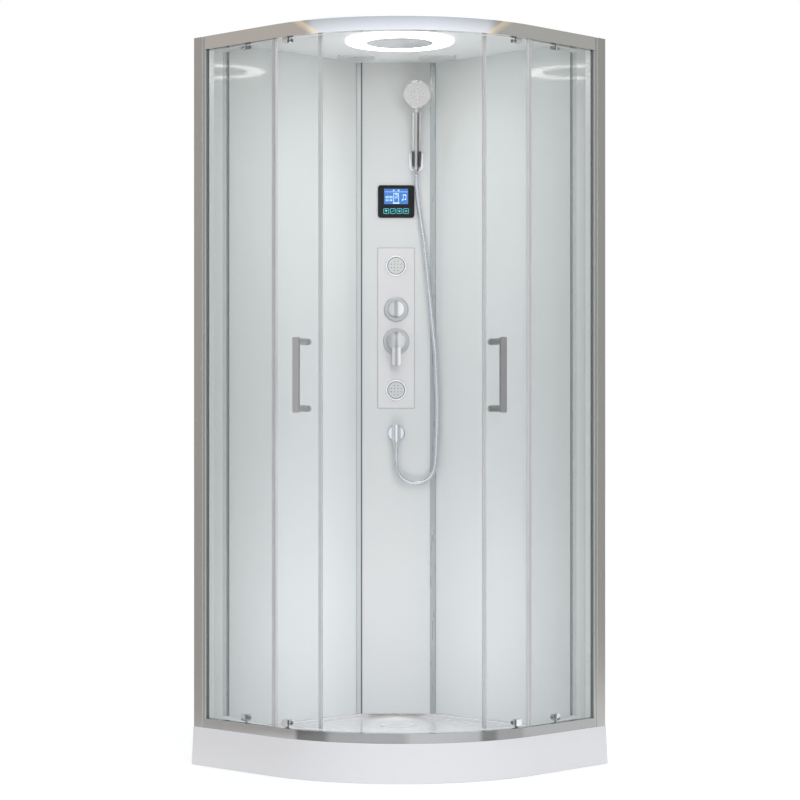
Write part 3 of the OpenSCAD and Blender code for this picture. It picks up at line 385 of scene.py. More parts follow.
def rail_with_painted_reflections(name, colour):
    """The top rail with painted reflections: its middle goes from grey at the top edge to pale, between two
    slanted warm stripes of painted highlight.
    """
    material = surface(name, colour, [c * METAL_SHADE for c in colour], metallic=1.0, rough=(0.1, 0.15),
                       stretch=(0.3, 0.3, 4), grain=60, blotch=5)
    tree = material.node_tree
    low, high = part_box("top_rail")
    parts = parts_of(tree)
    drop = maths(tree, "SUBTRACT", high[2], parts["Z"])
    slope, inner_end, outer_end, highlight_start, highlight_end = 1.33, 0.297, 0.304, 0.27, 0.33
    slant = maths(tree, "MULTIPLY_ADD", drop, slope, maths(tree, "ABSOLUTE", parts["X"]))
    # Painted reflection: the middle goes from grey at the top edge to pale at the lower edge.
    reflection_fade = share(tree, parts["Z"], high[2], low[2])
    middle = mixed(tree, reflection_fade, (0.56, 0.57, 0.58, 1), (0.92, 0.92, 0.92, 1))
    both = mixed(tree, share(tree, slant, outer_end, inner_end), tree.nodes["Mix"].outputs["Result"], middle)
    # Painted highlight: a warm stripe along each slanted edge of the middle.
    across = share(tree, slant, highlight_start, highlight_end)
    painted_highlight = ramp(tree, across, ((0, 0), (0.36, 0), (0.48, 1), (0.66, 1), (1, 0)))
    feed(tree, tree.nodes["Principled BSDF"], {"Base Color": mixed(tree, painted_highlight, both, (1.0, 0.87, 0.7, 1))})
    return material


MADE = {}


def finish_named(name):
    """The cabin's finishes, each made once."""
    if name in MADE:
        return MADE[name]
    looks = bpy.context.scene.cabin_looks
    metal, rail = tuple(looks.frame_colour), tuple(looks.rail_colour)
    recipes = {
        "acrylic": lambda: surface(
            "glossy_white_acrylic", looks.acrylic_colour, rough=(0.14, 0.24), coat=0.4, blotch=2.5),
        # The tray's floor: the same acrylic made lighter, painted light.
        "tray_floor_painted_light": lambda: surface(
            "glossy_white_floor_painted_light", [c * FLOOR_PAINTED_LIGHT for c in looks.acrylic_colour], rough=(0.14, 0.24),
            coat=0.4, blotch=2.5),
        "frame": lambda: surface(
            "polished_aluminium", metal, [c * METAL_SHADE for c in metal], metallic=1.0, rough=(0.2, 0.28),
            stretch=(1, 1, 0.08), grain=160, blotch=9),
        "glass": lambda: surface(
            "clear_safety_glass", looks.glass_colour, rough=(0.02, 0.06), grain=14, alpha=looks.glass_alpha,
            ior=1.33, blotch=2),
        "gasket": lambda: surface("grey_rubber", (0.17, 0.185, 0.185), rough=(0.45, 0.6), bump=0.0002),
        "seal": lambda: surface(
            "clear_soft_plastic", (0.62, 0.625, 0.63), rough=(0.2, 0.35), alpha=0.5, grain=90,
            stretch=(1, 1, 0.1)),
        "pale_seal": lambda: surface(
            "pale_soft_plastic", (0.8, 0.805, 0.82), rough=(0.2, 0.35), alpha=0.5, grain=90,
            stretch=(1, 1, 0.1)),
        "fin": lambda: surface(
            "grey_soft_plastic", (0.42, 0.435, 0.43), rough=(0.3, 0.45), alpha=0.22, grain=90,
            stretch=(1, 1, 0.1)),
        "fin_lip": lambda: surface(
            "dark_soft_plastic", (0.13, 0.145, 0.14), rough=(0.3, 0.45), alpha=0.65, grain=90,
            stretch=(1, 1, 0.1)),
        # The posts' inner end faces: a pale painted reflection of the lit walls inside.
        "bright": lambda: surface(
            "anodised_painted_reflection", (0.86, 0.87, 0.87), metallic=0.5, rough=(0.3, 0.4), grain=90,
            stretch=(1, 1, 0.1)),
        "strip": lambda: surface(
            "satin_strip", (0.58, 0.6, 0.6), metallic=0.3, rough=(0.3, 0.42), grain=120,
            stretch=(1, 1, 0.06)),
        # Painted dark reflections on the column strips: a darker grey, and a dark line.
        "mid_strip_painted_reflection": lambda: surface(
            "grey_strip_painted_reflection", (0.44, 0.47, 0.47), metallic=0.5, rough=(0.25, 0.35), grain=120,
            stretch=(1, 1, 0.06)),
        "dark_strip_painted_reflection": lambda: surface(
            "dark_strip_painted_reflection", (0.12, 0.135, 0.135), metallic=0.3, rough=(0.3, 0.4), grain=120,
            stretch=(1, 1, 0.06)),
        "handle_left": lambda: surface(
            "satin_metal", (0.46, 0.455, 0.46), metallic=0.7, rough=(0.34, 0.46), stretch=(1, 1, 0.05),
            grain=300),
        # The right handle: the same satin metal made darker, a painted darker reflection.
        "handle_right": lambda: surface(
            "satin_metal_painted_shade", (0.32, 0.32, 0.325), metallic=0.7, rough=(0.34, 0.46), stretch=(1, 1, 0.05),
            grain=300),
        "chrome": lambda: surface(
            "chrome", (0.82, 0.83, 0.85), (0.76, 0.77, 0.79), metallic=1.0, rough=(0.04, 0.1), grain=50),
        "satin": lambda: surface(
            "satin_chrome", (0.6, 0.61, 0.61), metallic=0.8, rough=(0.3, 0.4), grain=120),
        "jet_rim": lambda: surface(
            "bright_chrome", (0.93, 0.94, 0.95), metallic=0.9, rough=(0.12, 0.18), grain=60),
        "knob": lambda: surface(
            "dark_plastic", (0.06, 0.06, 0.065), rough=(0.3, 0.45), bump=0.0001, bump_grain=900),
        "nylon": lambda: surface(
            "white_nylon", (0.78, 0.78, 0.76), rough=(0.4, 0.5), bump=0.0001, bump_grain=700),
        "wall": lambda: surface(
            "back_painted_glass", looks.wall_colour, rough=(0.05, 0.11), coat=0.8, blotch=1.6, grain=8),
        "column": lambda: surface(
            "column_glass", looks.column_colour, rough=(0.28, 0.36), blotch=1.6, grain=8),
        "plate": lambda: surface(
            "plate_glass", (0.67, 0.66, 0.66), rough=(0.1, 0.16), coat=0.6, blotch=1.6, grain=8),
        "black": lambda: surface("black_glass", (0.012, 0.012, 0.013), rough=(0.1, 0.2), ior=1.3, grain=40),
        "white": lambda: surface(
            "white_plastic", (0.74, 0.75, 0.76), rough=(0.28, 0.4), bump=0.0001, bump_grain=800),
        "pale": lambda: surface(
            "pale_grey_plastic", (0.62, 0.62, 0.61), rough=(0.32, 0.42), bump=0.0001, bump_grain=900),
        "steel": lambda: surface(
            "galvanised_steel", (0.45, 0.46, 0.48), (0.34, 0.35, 0.37), metallic=0.9, rough=(0.35, 0.55),
            grain=60, blotch=40),
        "rubber": lambda: surface("black_rubber", (0.03, 0.03, 0.03), rough=(0.55, 0.7), bump=0.0003),
        "brass": lambda: surface(
            "cast_brass", (0.62, 0.45, 0.2), (0.5, 0.36, 0.16), metallic=1.0, rough=(0.3, 0.5), bump=0.0003,
            bump_grain=400),
        "pipe": lambda: surface("pipe_plastic", (0.55, 0.57, 0.6), rough=(0.3, 0.4)),
        "mirror": lambda: surface(
            "mirror_steel", (0.93, 0.95, 0.98), metallic=0.4, rough=(0.08, 0.14), grain=12),
        "ceiling": lambda: surface("glossy_white_ceiling", (0.93, 0.95, 0.95), rough=(0.35, 0.45)),
        # The diverter knob and the mixer lever: satin chrome with reflections painted as a dark middle band
        # between pale sides.
        "split": lambda: painted_reflection_bands(
            "satin_chrome_painted_reflections", 0, 0.02,
            ((0, 0.6), (0.3, 0.7), (0.48, 0.4), (0.54, 0.4), (0.68, 0.86), (1, 0.92)), metallic=0.5,
            rough=(0.28, 0.38), grain=160),
        # The hand shower: chrome with reflections painted as dark and bright bands across it.
        "handle_chrome": lambda: painted_reflection_bands(
            "chrome_painted_reflections", 0.065, 0.016,
            ((0, 0.4), (0.08, 0.85), (0.24, 0.85), (0.32, 0.4), (0.4, 0.8), (0.5, 0.75), (0.56, 0.3),
             (0.74, 0.22), (0.8, 0.8), (0.94, 0.75), (1, 0.4)), metallic=0.7, rough=(0.12, 0.2), grain=60),
        "top_rail": lambda: rail_with_painted_reflections("aluminium_top_rail_painted_reflections", rail),
        # The bottom rail's reflections are painted as dark and light bands along it.
        "bottom_rail": lambda: painted_reflection_bands(
            "aluminium_bottom_rail_painted_reflections", 0, 0.62,
            ((0, 0.55), (0.244, 0.48), (0.254, 0.2), (0.315, 0.21), (0.33, 0.36), (0.5, 0.35), (0.52, 0.46),
             (0.677, 0.42), (0.69, 0.2), (0.716, 0.2), (0.728, 0.33), (0.782, 0.33), (0.795, 0.42),
             (1, 0.42)), metallic=1.0, rough=(0.1, 0.15), grain=60),
        "diffuser": lambda: glow("lit_diffuser", (1.0, 0.99, 0.97), looks.ring_strength, rough=(0.4, 0.5)),
        "line": lambda: surface("grey_line", (0.36, 0.37, 0.37), rough=(0.4, 0.5), bump=0.0001),
        "tip": lambda: surface("pale_nozzle", (0.24, 0.24, 0.235), rough=(0.4, 0.5), grain=400),
        # A faint painted glow for the ring light's white rim, which is no lamp.
        "rim": lambda: glow("rim_painted_glow", (1.0, 0.99, 0.97), 0.9, rough=(0.4, 0.5)),
        "screen": lambda: glow("lit_blue_screen", looks.screen_colour, 0.2, rough=(0.1, 0.15), grain=600),
        "sign": lambda: glow("lit_white_sign", (0.62, 0.82, 1.0), 0.6, rough=(0.2, 0.3)),
        "key": lambda: glow("lit_teal_key", looks.key_colour, 0.4, rough=(0.2, 0.3)),
        "nozzle": lambda: surface("soft_grey_nozzle", (0.11, 0.115, 0.12), rough=(0.5, 0.6), grain=400),
    }
    MADE[name] = recipes[name]()
    return MADE[name]


# What a user would change


class CabinLooks(bpy.types.PropertyGroup):
    """Colours and sizes of the cabin's finished pieces."""

    acrylic_colour: bpy.props.FloatVectorProperty(
        name="Acrylic", description="Colour of the tray", subtype="COLOR", size=3, min=0, max=1,
        default=(0.68, 0.675, 0.68))
    frame_colour: bpy.props.FloatVectorProperty(
        name="Posts", description="Colour of the polished posts", subtype="COLOR", size=3, min=0, max=1,
        default=(0.52, 0.515, 0.5))
    rail_colour: bpy.props.FloatVectorProperty(
        name="Rails", description="Colour of the polished rails", subtype="COLOR", size=3, min=0, max=1,
        default=(0.7, 0.68, 0.66))
    glass_colour: bpy.props.FloatVectorProperty(
        name="Glass", description="Tint of the doors and fixed panels", subtype="COLOR", size=3, min=0, max=1,
        default=(0.55, 0.6, 0.59))
    glass_alpha: bpy.props.FloatProperty(
        name="Glass tint", description="How much of the tint shows", subtype="FACTOR", min=0, max=1,
        default=0.1)
    wall_colour: bpy.props.FloatVectorProperty(
        name="Walls", description="Colour of the back wall panels", subtype="COLOR", size=3, min=0, max=1,
        default=(0.68, 0.705, 0.7))
    column_colour: bpy.props.FloatVectorProperty(
        name="Column", description="Colour of the column", subtype="COLOR", size=3, min=0, max=1,
        default=(0.64, 0.655, 0.65))
    ring_strength: bpy.props.FloatProperty(
        name="Ring light", description="Brightness of the ring light", min=0, max=50, default=6)
    screen_colour: bpy.props.FloatVectorProperty(
        name="Screen", description="Colour of the display's screen", subtype="COLOR", size=3, min=0, max=1,
        default=(0.045, 0.18, 0.52))
    key_colour: bpy.props.FloatVectorProperty(
        name="Keys", description="Colour of the touch keys' outlines", subtype="COLOR", size=3, min=0, max=1,
        default=(0.1, 0.62, 0.68))
    hose_diameter: bpy.props.FloatProperty(
        name="Hose", description="Outer diameter of the shower hose", subtype="DISTANCE", unit="LENGTH",
        min=0.01, max=0.02, default=0.015)
    hose_ribs: bpy.props.IntProperty(
        name="Hose ribs", description="Number of ribs along the hose", min=160, max=600, default=400)
    nozzle_radius: bpy.props.FloatProperty(
        name="Jet nozzle", description="Radius of a nozzle in the jets' faces", subtype="DISTANCE",
        unit="LENGTH", min=0.0008, max=0.0025, default=0.0015)


class CabinStage(bpy.types.PropertyGroup):
    """The camera and the light."""

    camera_place: bpy.props.FloatVectorProperty(
        name="Camera", description="Place of the camera", subtype="TRANSLATION", unit="LENGTH", size=3,
        default=(-0.18305, -7.3242, 1.0388))
    camera_turn: bpy.props.FloatProperty(
        name="Turn", description="Turn of the camera to the right", subtype="ANGLE", unit="ROTATION",
        default=math.radians(0.6808))
    lens: bpy.props.FloatProperty(
        name="Lens", description="Focal length on a 36 mm sensor", unit="CAMERA", default=106.263)
    shift: bpy.props.FloatVectorProperty(
        name="Shift", description="Sideways and upward shift of the lens", size=2, default=(0.03996, 0.02956))
    floor_colour: bpy.props.FloatVectorProperty(
        name="Floor", description="Colour of the floor", subtype="COLOR", size=3, min=0, max=1,
        default=(0.9, 0.9, 0.9))
    light_strength: bpy.props.FloatProperty(
        name="Light", description="Power of the large soft light", unit="POWER", min=0, max=1000, default=62)
    inside_strength: bpy.props.FloatProperty(
        name="Inside light", description="Power of the soft light inside the cabin", unit="POWER", min=0,
        max=100, default=1.5)
    far_floor_colour: bpy.props.FloatVectorProperty(
        name="Far floor", description="Colour of the floor far to the sides and in front", subtype="COLOR",
        size=3, min=0, max=1, default=(0.66, 0.63, 0.6))


# The stage


class CABIN_OT_stage(bpy.types.Operator):
    """Sets the camera, the floor, the light and the surroundings"""

    bl_idname = "cabin.stage"
    bl_label = "Stage"

    def execute(self, context):
        stage = context.scene.cabin_stage
        context.scene.view_settings.view_transform = "Standard"
        deselect()
        bpy.ops.object.camera_add(location=stage.camera_place, rotation=(math.pi / 2, 0, -stage.camera_turn))
        camera = named("Camera")
        camera.data.sensor_width = 36
        camera.data.lens = stage.lens
        camera.data.shift_x = stage.shift[0]
        camera.data.shift_y = stage.shift[1]
        camera.data.clip_end = 100
        context.scene.camera = camera
        deselect()
        bpy.ops.mesh.primitive_plane_add(size=60, location=(0, 0, -0.0005))
        floor = bake_place(named("floor"))
        floor.data.materials.append(self.floor_paint(stage))
        for name, place, aim, size, power in (
                ("Key", (1.5, -4.2, 2.8), (0, 0, 0.9), (2.5, 2.5), stage.light_strength),
                ("Fill", (-2.6, -3.0, 2.6), (0, 0, 1.1), (2.0, 2.0), stage.light_strength * 0.05),
                ("Inside high", (0, -0.28, 1.72), (0, 1, 1.72), (0.3, 0.6), stage.inside_strength * 0.65),
                ("Inside low", (0, -0.28, 0.42), (0, 1, 0.42), (0.3, 0.45), stage.inside_strength)):
            deselect()
            bpy.ops.object.light_add(type="AREA", location=place)
            lamp = named(name)
            lamp.data.shape = "RECTANGLE"
            lamp.data.size, lamp.data.size_y = size
            lamp.data.energy = power
            lamp.rotation_euler = (Vector(aim) - Vector(place)).to_track_quat("-Z", "Y").to_euler()
            lamp.visible_camera = False
            lamp.visible_glossy = False
        context.scene.world = bpy.data.worlds.new("Studio")
        self.surround(context.scene.world)
        return {"FINISHED"}

    def floor_paint(self, stage):
        """Nearly white where the camera sees it, greyer far off, for the metal to reflect."""
        paint = surface("white_floor", stage.floor_colour, rough=(0.5, 0.6))
        tree = paint.node_tree
        parts = parts_of(tree)
        spread, lift = 0.17, 0.27
        near = 1
        for along_x, along_y, start, end in (
                (1, spread, -1.44, -1.24), (-1, spread, -3.2, -2.0), (0, 1, -3.6, -2.0)):
            across = maths(tree, "MULTIPLY", parts["X"], along_x)
            way = maths(tree, "MULTIPLY_ADD", parts["Y"], along_y, across)
            fade = share(tree, way, start, end, interpolation_type="SMOOTHSTEP")
            near = maths(tree, "MULTIPLY", near, fade)
        plain = tree.nodes["Mix"].outputs["Result"]
        feed(tree, tree.nodes["Principled BSDF"], {
            "Base Color": mixed(tree, near, (*stage.far_floor_colour, 1), plain),
            "Emission Color": (1, 1, 1, 1), "Emission Strength": maths(tree, "MULTIPLY", near, lift),
        })
        return paint

    def surround(self, world):
        """Pale behind the cabin; graded in front of it, for the polished metal to reflect."""
        world.use_nodes = True
        tree = world.node_tree
        node(tree, "TexCoord", {})
        parts = parts_of(tree, "Generated")
        around = maths(tree, "ARCTAN2", parts["X"], maths(tree, "MULTIPLY", parts["Y"], -1))
        stops = (
            (-180, (1, 1, 1)), (-128, (1, 1, 1)), (-112, (0.63, 0.6, 0.57)), (-64, (0.6, 0.57, 0.53)),
            (-59, (0.84, 0.87, 0.92)), (-20, (0.94, 0.98, 1.06)), (20, (0.98, 1.02, 1.1)),
            (59, (0.86, 0.88, 0.92)), (64, (0.56, 0.56, 0.54)), (112, (0.53, 0.545, 0.53)),
            (128, (1, 1, 1)), (180, (1, 1, 1)),
        )
        places = [((degrees + 180) / 360, colour) for degrees, colour in stops]
        sky = ramp(tree, share(tree, around, -math.pi, math.pi), places)
        feed(tree, tree.nodes["Background"], {"Color": sky, "Strength": 1.0})


# The hose


class CABIN_OT_hose(bpy.types.Operator):
    """Makes the ribbed metal hose from its outlet to the hand shower"""

    bl_idname = "cabin.hose"
    bl_label = "Shower hose"

    def execute(self, context):
        looks = context.scene.cabin_looks
        below = 36.1
        x, y, z = (place / MM for place in HOLDER)
        start = Vector((x, y + below * math.sin(HAND_LEAN), z - below * math.cos(HAND_LEAN)))
        along = Vector((0, math.sin(HAND_LEAN), -math.cos(HAND_LEAN)))
        end = Vector((0, COLUMN_Y / MM - 30, 955))
        route = [
            (68, 20.5, 1800), (73, 19.5, 1750), (80, 18.5, 1700), (90, 18.5, 1635), (97, 18.5, 1570),
            (103, 18.5, 1505), (110, 18.5, 1440), (116, 19.5, 1375), (122, 20.5, 1320), (127, 21.5, 1265),
            (130, 22.5, 1200), (132.5, 23.5, 1130), (133, 24.3, 1075), (132.5, 24.9, 1022), (130, 25.5, 970),
            (129, 26, 931), (124, 26.5, 893), (114.5, 27.2, 871.7), (98, 28, 855.6), (76.7, 28.8, 846.5),
            (53.6, 29.3, 845.7), (31.8, 29.5, 853.3), (14.1, 29.5, 868.2), (3.1, 29.8, 888.5), (0.2, 30, 910),
        ]
        knots = [start, start + 15 * along, start + 24 * along]
        knots += [Vector((x, COLUMN_Y / MM - y, z)) for x, y, z in route]
        knots += [end - Vector((0, 0, 24)), end - Vector((0, 0, 15)), end]
        line = self.curve([k * MM for k in knots])
        line.reverse()
        length = sum((b - a).length for a, b in zip(line, line[1:]))
        obj = self.tube(line, length, looks.hose_ribs, looks.hose_diameter / 2)
        smooth(obj, 50)
        obj.data.materials.append(finish_named("chrome"))
        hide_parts("shower_hose")
        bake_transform(obj)
        return {"FINISHED"}

    def curve(self, knots):
        """Catmull-Rom curve through the knots, as in the CAD source."""
        steps = 24
        out = []
        last = len(knots) - 1
        knot = lambda i: knots[max(0, min(last, i))]
        for i in range(last):
            a, b, d, e = knot(i - 1), knot(i), knot(i + 1), knot(i + 2)
            for k in range(steps):
                f = k / steps
                out.append(0.5 * (2 * b + (d - a) * f + (2 * a - 5 * b + 4 * d - e) * f * f
                                  + (3 * b - 3 * d + e - a) * f ** 3))
        out.append(knots[-1].copy())
        return out

    def tube(self, line, length, ribs, radius):
        """Rings of two radii along the line, turned with it, and closed at both ends."""
        sides = 16
        table = [0.0]
        for a, b in zip(line, line[1:]):
            table.append(table[-1] + (b - a).length)
        shape = bmesh.new()
        normal = Vector((1, 0, 0))
        rings, at = [], 0
        pitch = length / ribs
        for rib in range(ribs):
            for part, r in ((0.0, 0.9), (0.14, 1.0), (0.66, 1.0), (0.8, 0.9)):
                goal = (rib + part) * pitch
                while at < len(line) - 2 and table[at + 1] < goal:
                    at += 1
                step = line[at + 1] - line[at]
                place = line[at] + step * ((goal - table[at]) / step.length)
                along = step.normalized()
                normal = (normal - along * normal.dot(along)).normalized()
                side = along.cross(normal)
                rings.append([
                    shape.verts.new(place + radius * r * (math.cos(2 * math.pi * k / sides) * normal
                                                          + math.sin(2 * math.pi * k / sides) * side))
                    for k in range(sides)
                ])
        for a, b in zip(rings, rings[1:]):
            for k in range(sides):
                shape.faces.new((a[k], a[(k + 1) % sides], b[(k + 1) % sides], b[k]))
        shape.faces.new(rings[0][::-1])
        shape.faces.new(rings[-1])
        mesh = bpy.data.meshes.new("ribbed_hose")
        shape.to_mesh(mesh)
        shape.free()
        obj = bpy.data.objects.new("ribbed_hose", mesh)
        bpy.context.scene.collection.objects.link(obj)
        edit(obj, "FACE")
        bpy.ops.mesh.select_all(action="SELECT")
        bpy.ops.mesh.normals_make_consistent(inside=False)
        leave()
        return obj


# The cabin's pieces


class CABIN_OT_tray(bpy.types.Operator):
    """Finishes the tray, its drain and what stands under it"""

    bl_idname = "cabin.tray"
    bl_label = "Tray"

    def execute(self, context):
        tray = dress("tray", finish_named("acrylic"), "cabin", "acrylic_white", 2.0, 3)
        # Painted light: the tray's upward faces get the lighter copy of its acrylic.
        second_finish(tray, finish_named("tray_floor_painted_light"), lambda centre, normal: normal.z > 0.7)
        cover = dress("drain_cover", finish_named("mirror"), "drain_cover_body", "chrome", 0.5)
        second_finish(cover, finish_named("gasket"), lambda centre, normal: abs(normal.z) < 0.3)
        dress("drain_trap", finish_named("white"), "cabin", "trap_plastic", 0.6)
        dress("tray_frame", finish_named("steel"), "cabin", "frame_steel", 1.0)
        dress("tray_feet", finish_named("rubber"), "cabin", "foot_black", 0.6)
        return {"FINISHED"}


class CABIN_OT_frame(bpy.types.Operator):
    """Finishes the polished rails and posts"""

    bl_idname = "cabin.frame"
    bl_label = "Rails and posts"

    def execute(self, context):
        # The bottom rail carries painted reflections in bands.
        dress("bottom_rail", finish_named("bottom_rail"), "cabin", "polished_aluminium", 0.4)
        dress("top_rail", finish_named("top_rail"), "cabin", "polished_aluminium", 0.4)
        for side, node in ((-1, "post_left"), (1, "post_right")):
            post = dress(node, finish_named("frame"), "cabin", "polished_aluminium", 0.4)
            # Painted reflection: the post's inner end face is pale, as if it mirrored the lit walls inside.
            inwards = Vector((-side, -1, 0)).normalized()
            second_finish(post, finish_named("bright"), lambda centre, normal: normal.dot(inwards) > 0.9)
        strips = dress("column_strips", finish_named("strip"), "cabin", "polished_aluminium", 0.4)
        # Painted dark reflections: the right strip is a darker grey, and a dark line runs along the left
        # strip's inner edge.
        second_finish(strips, finish_named("mid_strip_painted_reflection"), lambda centre, normal: centre.x > 0)
        inner = -min(abs(v.co.x) for v in strips.data.vertices)
        line = inner - STRIP_REFLECTION_LINE
        cut_across(strips, line)
        second_finish(strips, finish_named("dark_strip_painted_reflection"), lambda centre, normal: line < centre.x < 0)
        return {"FINISHED"}


class CABIN_OT_glass(bpy.types.Operator):
    """Finishes the fixed panels, the doors and the seals along them"""

    bl_idname = "cabin.glass"
    bl_label = "Glass and seals"

    def execute(self, context):
        for side in ("left", "right"):
            dress("fixed_glass_" + side, finish_named("glass"), "cabin", "clear_glass", 0.5)
            dress("door_glass_" + side, finish_named("glass"), "door_" + side, "clear_glass", 0.5)
            dress("door_seal_" + side, finish_named("seal"), "door_" + side, "seal_clear", 0.4)
            fin = dress("door_fin_" + side, finish_named("fin"), "door_" + side, "seal_clear", 0.3)
            line = min(abs(v.co.x) for v in fin.data.vertices) + FIN_LIP
            cut_across(fin, line if side == "right" else -line)
            second_finish(fin, finish_named("fin_lip"), lambda centre, normal: abs(centre.x) < line)
        seals = dress("fixed_seals", finish_named("seal"), "cabin", "seal_clear", 0.4)
        line = min(abs(v.co.x) for v in seals.data.vertices) + SEAL_EDGE
        for x in (-line, line):
            cut_across(seals, x)
        second_finish(seals, finish_named("pale_seal"), lambda centre, normal: abs(centre.x) < line)
        dress("glazing_gaskets", finish_named("gasket"), "cabin", "gasket_grey", 0.3)
        return {"FINISHED"}


class CABIN_OT_doors(bpy.types.Operator):
    """Finishes the handles and the rollers of both doors"""

    bl_idname = "cabin.doors"
    bl_label = "Handles and rollers"

    def execute(self, context):
        for side in ("left", "right"):
            body = "door_" + side
            # The right handle's satin metal is a darker copy: a painted darker reflection.
            dress("handle_" + side, finish_named("handle_" + side), body, "handle_metal", 0.7)
            dress("roller_blocks_" + side, finish_named("chrome"), body, "chrome", 0.5)
            dress("roller_knobs_" + side, finish_named("knob"), body, "knob_grey", 0.4)
            for k in (1, 2, 3, 4):
                wheel = f"wheel_{side}_{k}"
                dress(wheel, finish_named("nylon"), wheel + "_body", "wheel_white", 0.3)
        return {"FINISHED"}


class CABIN_OT_walls(bpy.types.Operator):
    """Finishes the wall panels, the column and the control plate"""

    bl_idname = "cabin.walls"
    bl_label = "Walls and column"

    def execute(self, context):
        dress("wall_left", finish_named("wall"), "cabin", "wall_glass", 0.6)
        dress("wall_right", finish_named("wall"), "cabin", "wall_glass", 0.6)
        dress("column", finish_named("column"), "cabin", "wall_glass", 0.6)
        dress("control_plate", finish_named("plate"), "cabin", "wall_glass", 0.5)
        low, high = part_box("control_plate")
        middle, width, height = (low[2] + high[2]) / 2 / MM, (high[0] - low[0]) / MM, (high[2] - low[2]) / MM
        # A thin dark grey outline around the control plate.
        seal = outline("plate_dark_outline", 0, middle, width + 3.4, height + 3.4, 2.5, 2.4, face=COLUMN_Y)
        finish(seal, finish_named("line"), "cabin", "gasket_grey")
        return {"FINISHED"}


class CABIN_OT_display(bpy.types.Operator):
    """Finishes the display: its glass, screen, signs and touch keys"""

    bl_idname = "cabin.display"
    bl_label = "Display"

    def execute(self, context):
        dress("display_panel", finish_named("black"), "cabin", "display_black", 0.8, 3)
        screen = plate("display_screen", 0, 1779.3, 78, 50, 1.0, 0.25)
        finish(screen, finish_named("screen"), "cabin", "display_black")
        finish(self.signs(), finish_named("sign"), "cabin", "display_black")
        finish(self.keys(), finish_named("key"), "cabin", "display_black")
        return {"FINISHED"}

    def signs(self):
        """Generic signs on the screen: a cabin, four digits and a note."""
        parts = [plate("sign", 0, 1794.2, 74, 0.7, 0)]
        parts.append(outline("sign", 0, 1774, 17, 32, 1.5, 1.2))
        parts.append(plate("sign", 0, 1757.6, 21, 2.2, 0.5))
        parts.append(plate("sign", 3.5, 1783, 1.2, 9, 0.3))
        parts.append(plate("sign", 0, 1786, 8, 1.4, 0.4))
        for k in (-1, 0, 1):
            parts.append(plate("sign", k * 3 - 0.5, 1776, 0.8, 8, 0.2))
        for z, height in ((1777, 7), (1767, 5.5)):
            for k in range(4):
                x = -32 + k * 5.4 + (1.6 if k > 1 else 0)
                w = height * 0.5
                parts.append(outline("sign", x, z + height / 4, w, height / 2, 0, 0.7))
                parts.append(outline("sign", x, z - height / 4, w, height / 2, 0, 0.7))
        parts.append(plate("sign", 21, 1768, 4.6, 3.4, 1.6))
        parts.append(plate("sign", 30, 1770, 4.6, 3.4, 1.6))
        parts.append(plate("sign", 23, 1775.5, 1.0, 15, 0))
        parts.append(plate("sign", 32, 1777.5, 1.0, 15, 0))
        parts.append(plate("sign", 27.5, 1784, 10, 2.4, 0.3))
        for x in (-8, 8):
            parts.append(outline("sign", x, 1799, 5, 5, 1.2, 0.9))
        return join(parts, "display_signs")

    def keys(self):
        """Four touch keys, each a rounded outline with a simple sign."""
        parts = []
        for k, x in enumerate((-32.4, -10.8, 10.8, 32.4)):
            z = 1731.6
            parts.append(outline("key", x, z, 17.5, 17.5, 3, 1.3))
            if k == 0:
                parts.append(plate("key", x, z + 1.6, 6.5, 5, 2))
                parts.append(plate("key", x, z - 3, 3, 1.6, 0.4))
            elif k == 1:
                for m in (-1, 0, 1):
                    parts.append(plate("key", x + m * 3.2, z + m * 2.2, 3.6, 1.5, 0.5))
            elif k == 2:
                parts.append(plate("key", x, z, 9, 2, 0.5))
                parts.append(plate("key", x, z, 2, 9, 0.5))
            else:
                parts.append(plate("key", x - 2.2, z, 3, 4, 0.4))
                parts.append(plate("key", x + 0.6, z, 1.6, 7, 0.4))
                parts.append(plate("key", x + 3.6, z, 1, 5, 0.3))
        return join(parts, "display_keys")


class CABIN_OT_jets(bpy.types.Operator):
    """Finishes the two body jets: a domed face with twelve nozzles each"""

    bl_idname = "cabin.jets"
    bl_label = "Jets"

    def execute(self, context):
        looks = context.scene.cabin_looks
        for name, z in JET_HEIGHTS.items():
            body = name + "_body"
            dress(name, finish_named("pale"), body, "white_plastic", 0.8, 3)
            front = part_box(name)[0][1]
            seal = turned("seal", [(26.1, -0.2), (26.4, 0.45), (27.6, 0.5), (28.1, -0.2), (26.1, -0.2)], 64)
            seal = smooth(placed(seal, facing(0, front, z)))
            seal.name = name + "_seal"
            finish(seal, finish_named("gasket"), body, "knob_grey")
            r = looks.nozzle_radius / MM
            tip = turned("nozzle", [
                (0, 0.5), (r * 0.5, 0.5), (r * 0.62, 0.7), (r, 0.4), (r * 1.15, -0.6), (0, -0.6),
            ], 12)
            spots = [(x, y) for y, xs in ((15, (-6, 6)), (5.5, (-16, -6, 6, 16)), (-5.5, (-16, -6, 6, 16)),
                                          (-15, (-6, 6))) for x in xs]
            places = [facing(x * MM, front + 0.0001, z + y * MM) for x, y in spots]
            nozzles = smooth(copies(tip, name + "_nozzles", places))
            finish(nozzles, finish_named("nozzle"), body, "knob_grey")
        return {"FINISHED"}


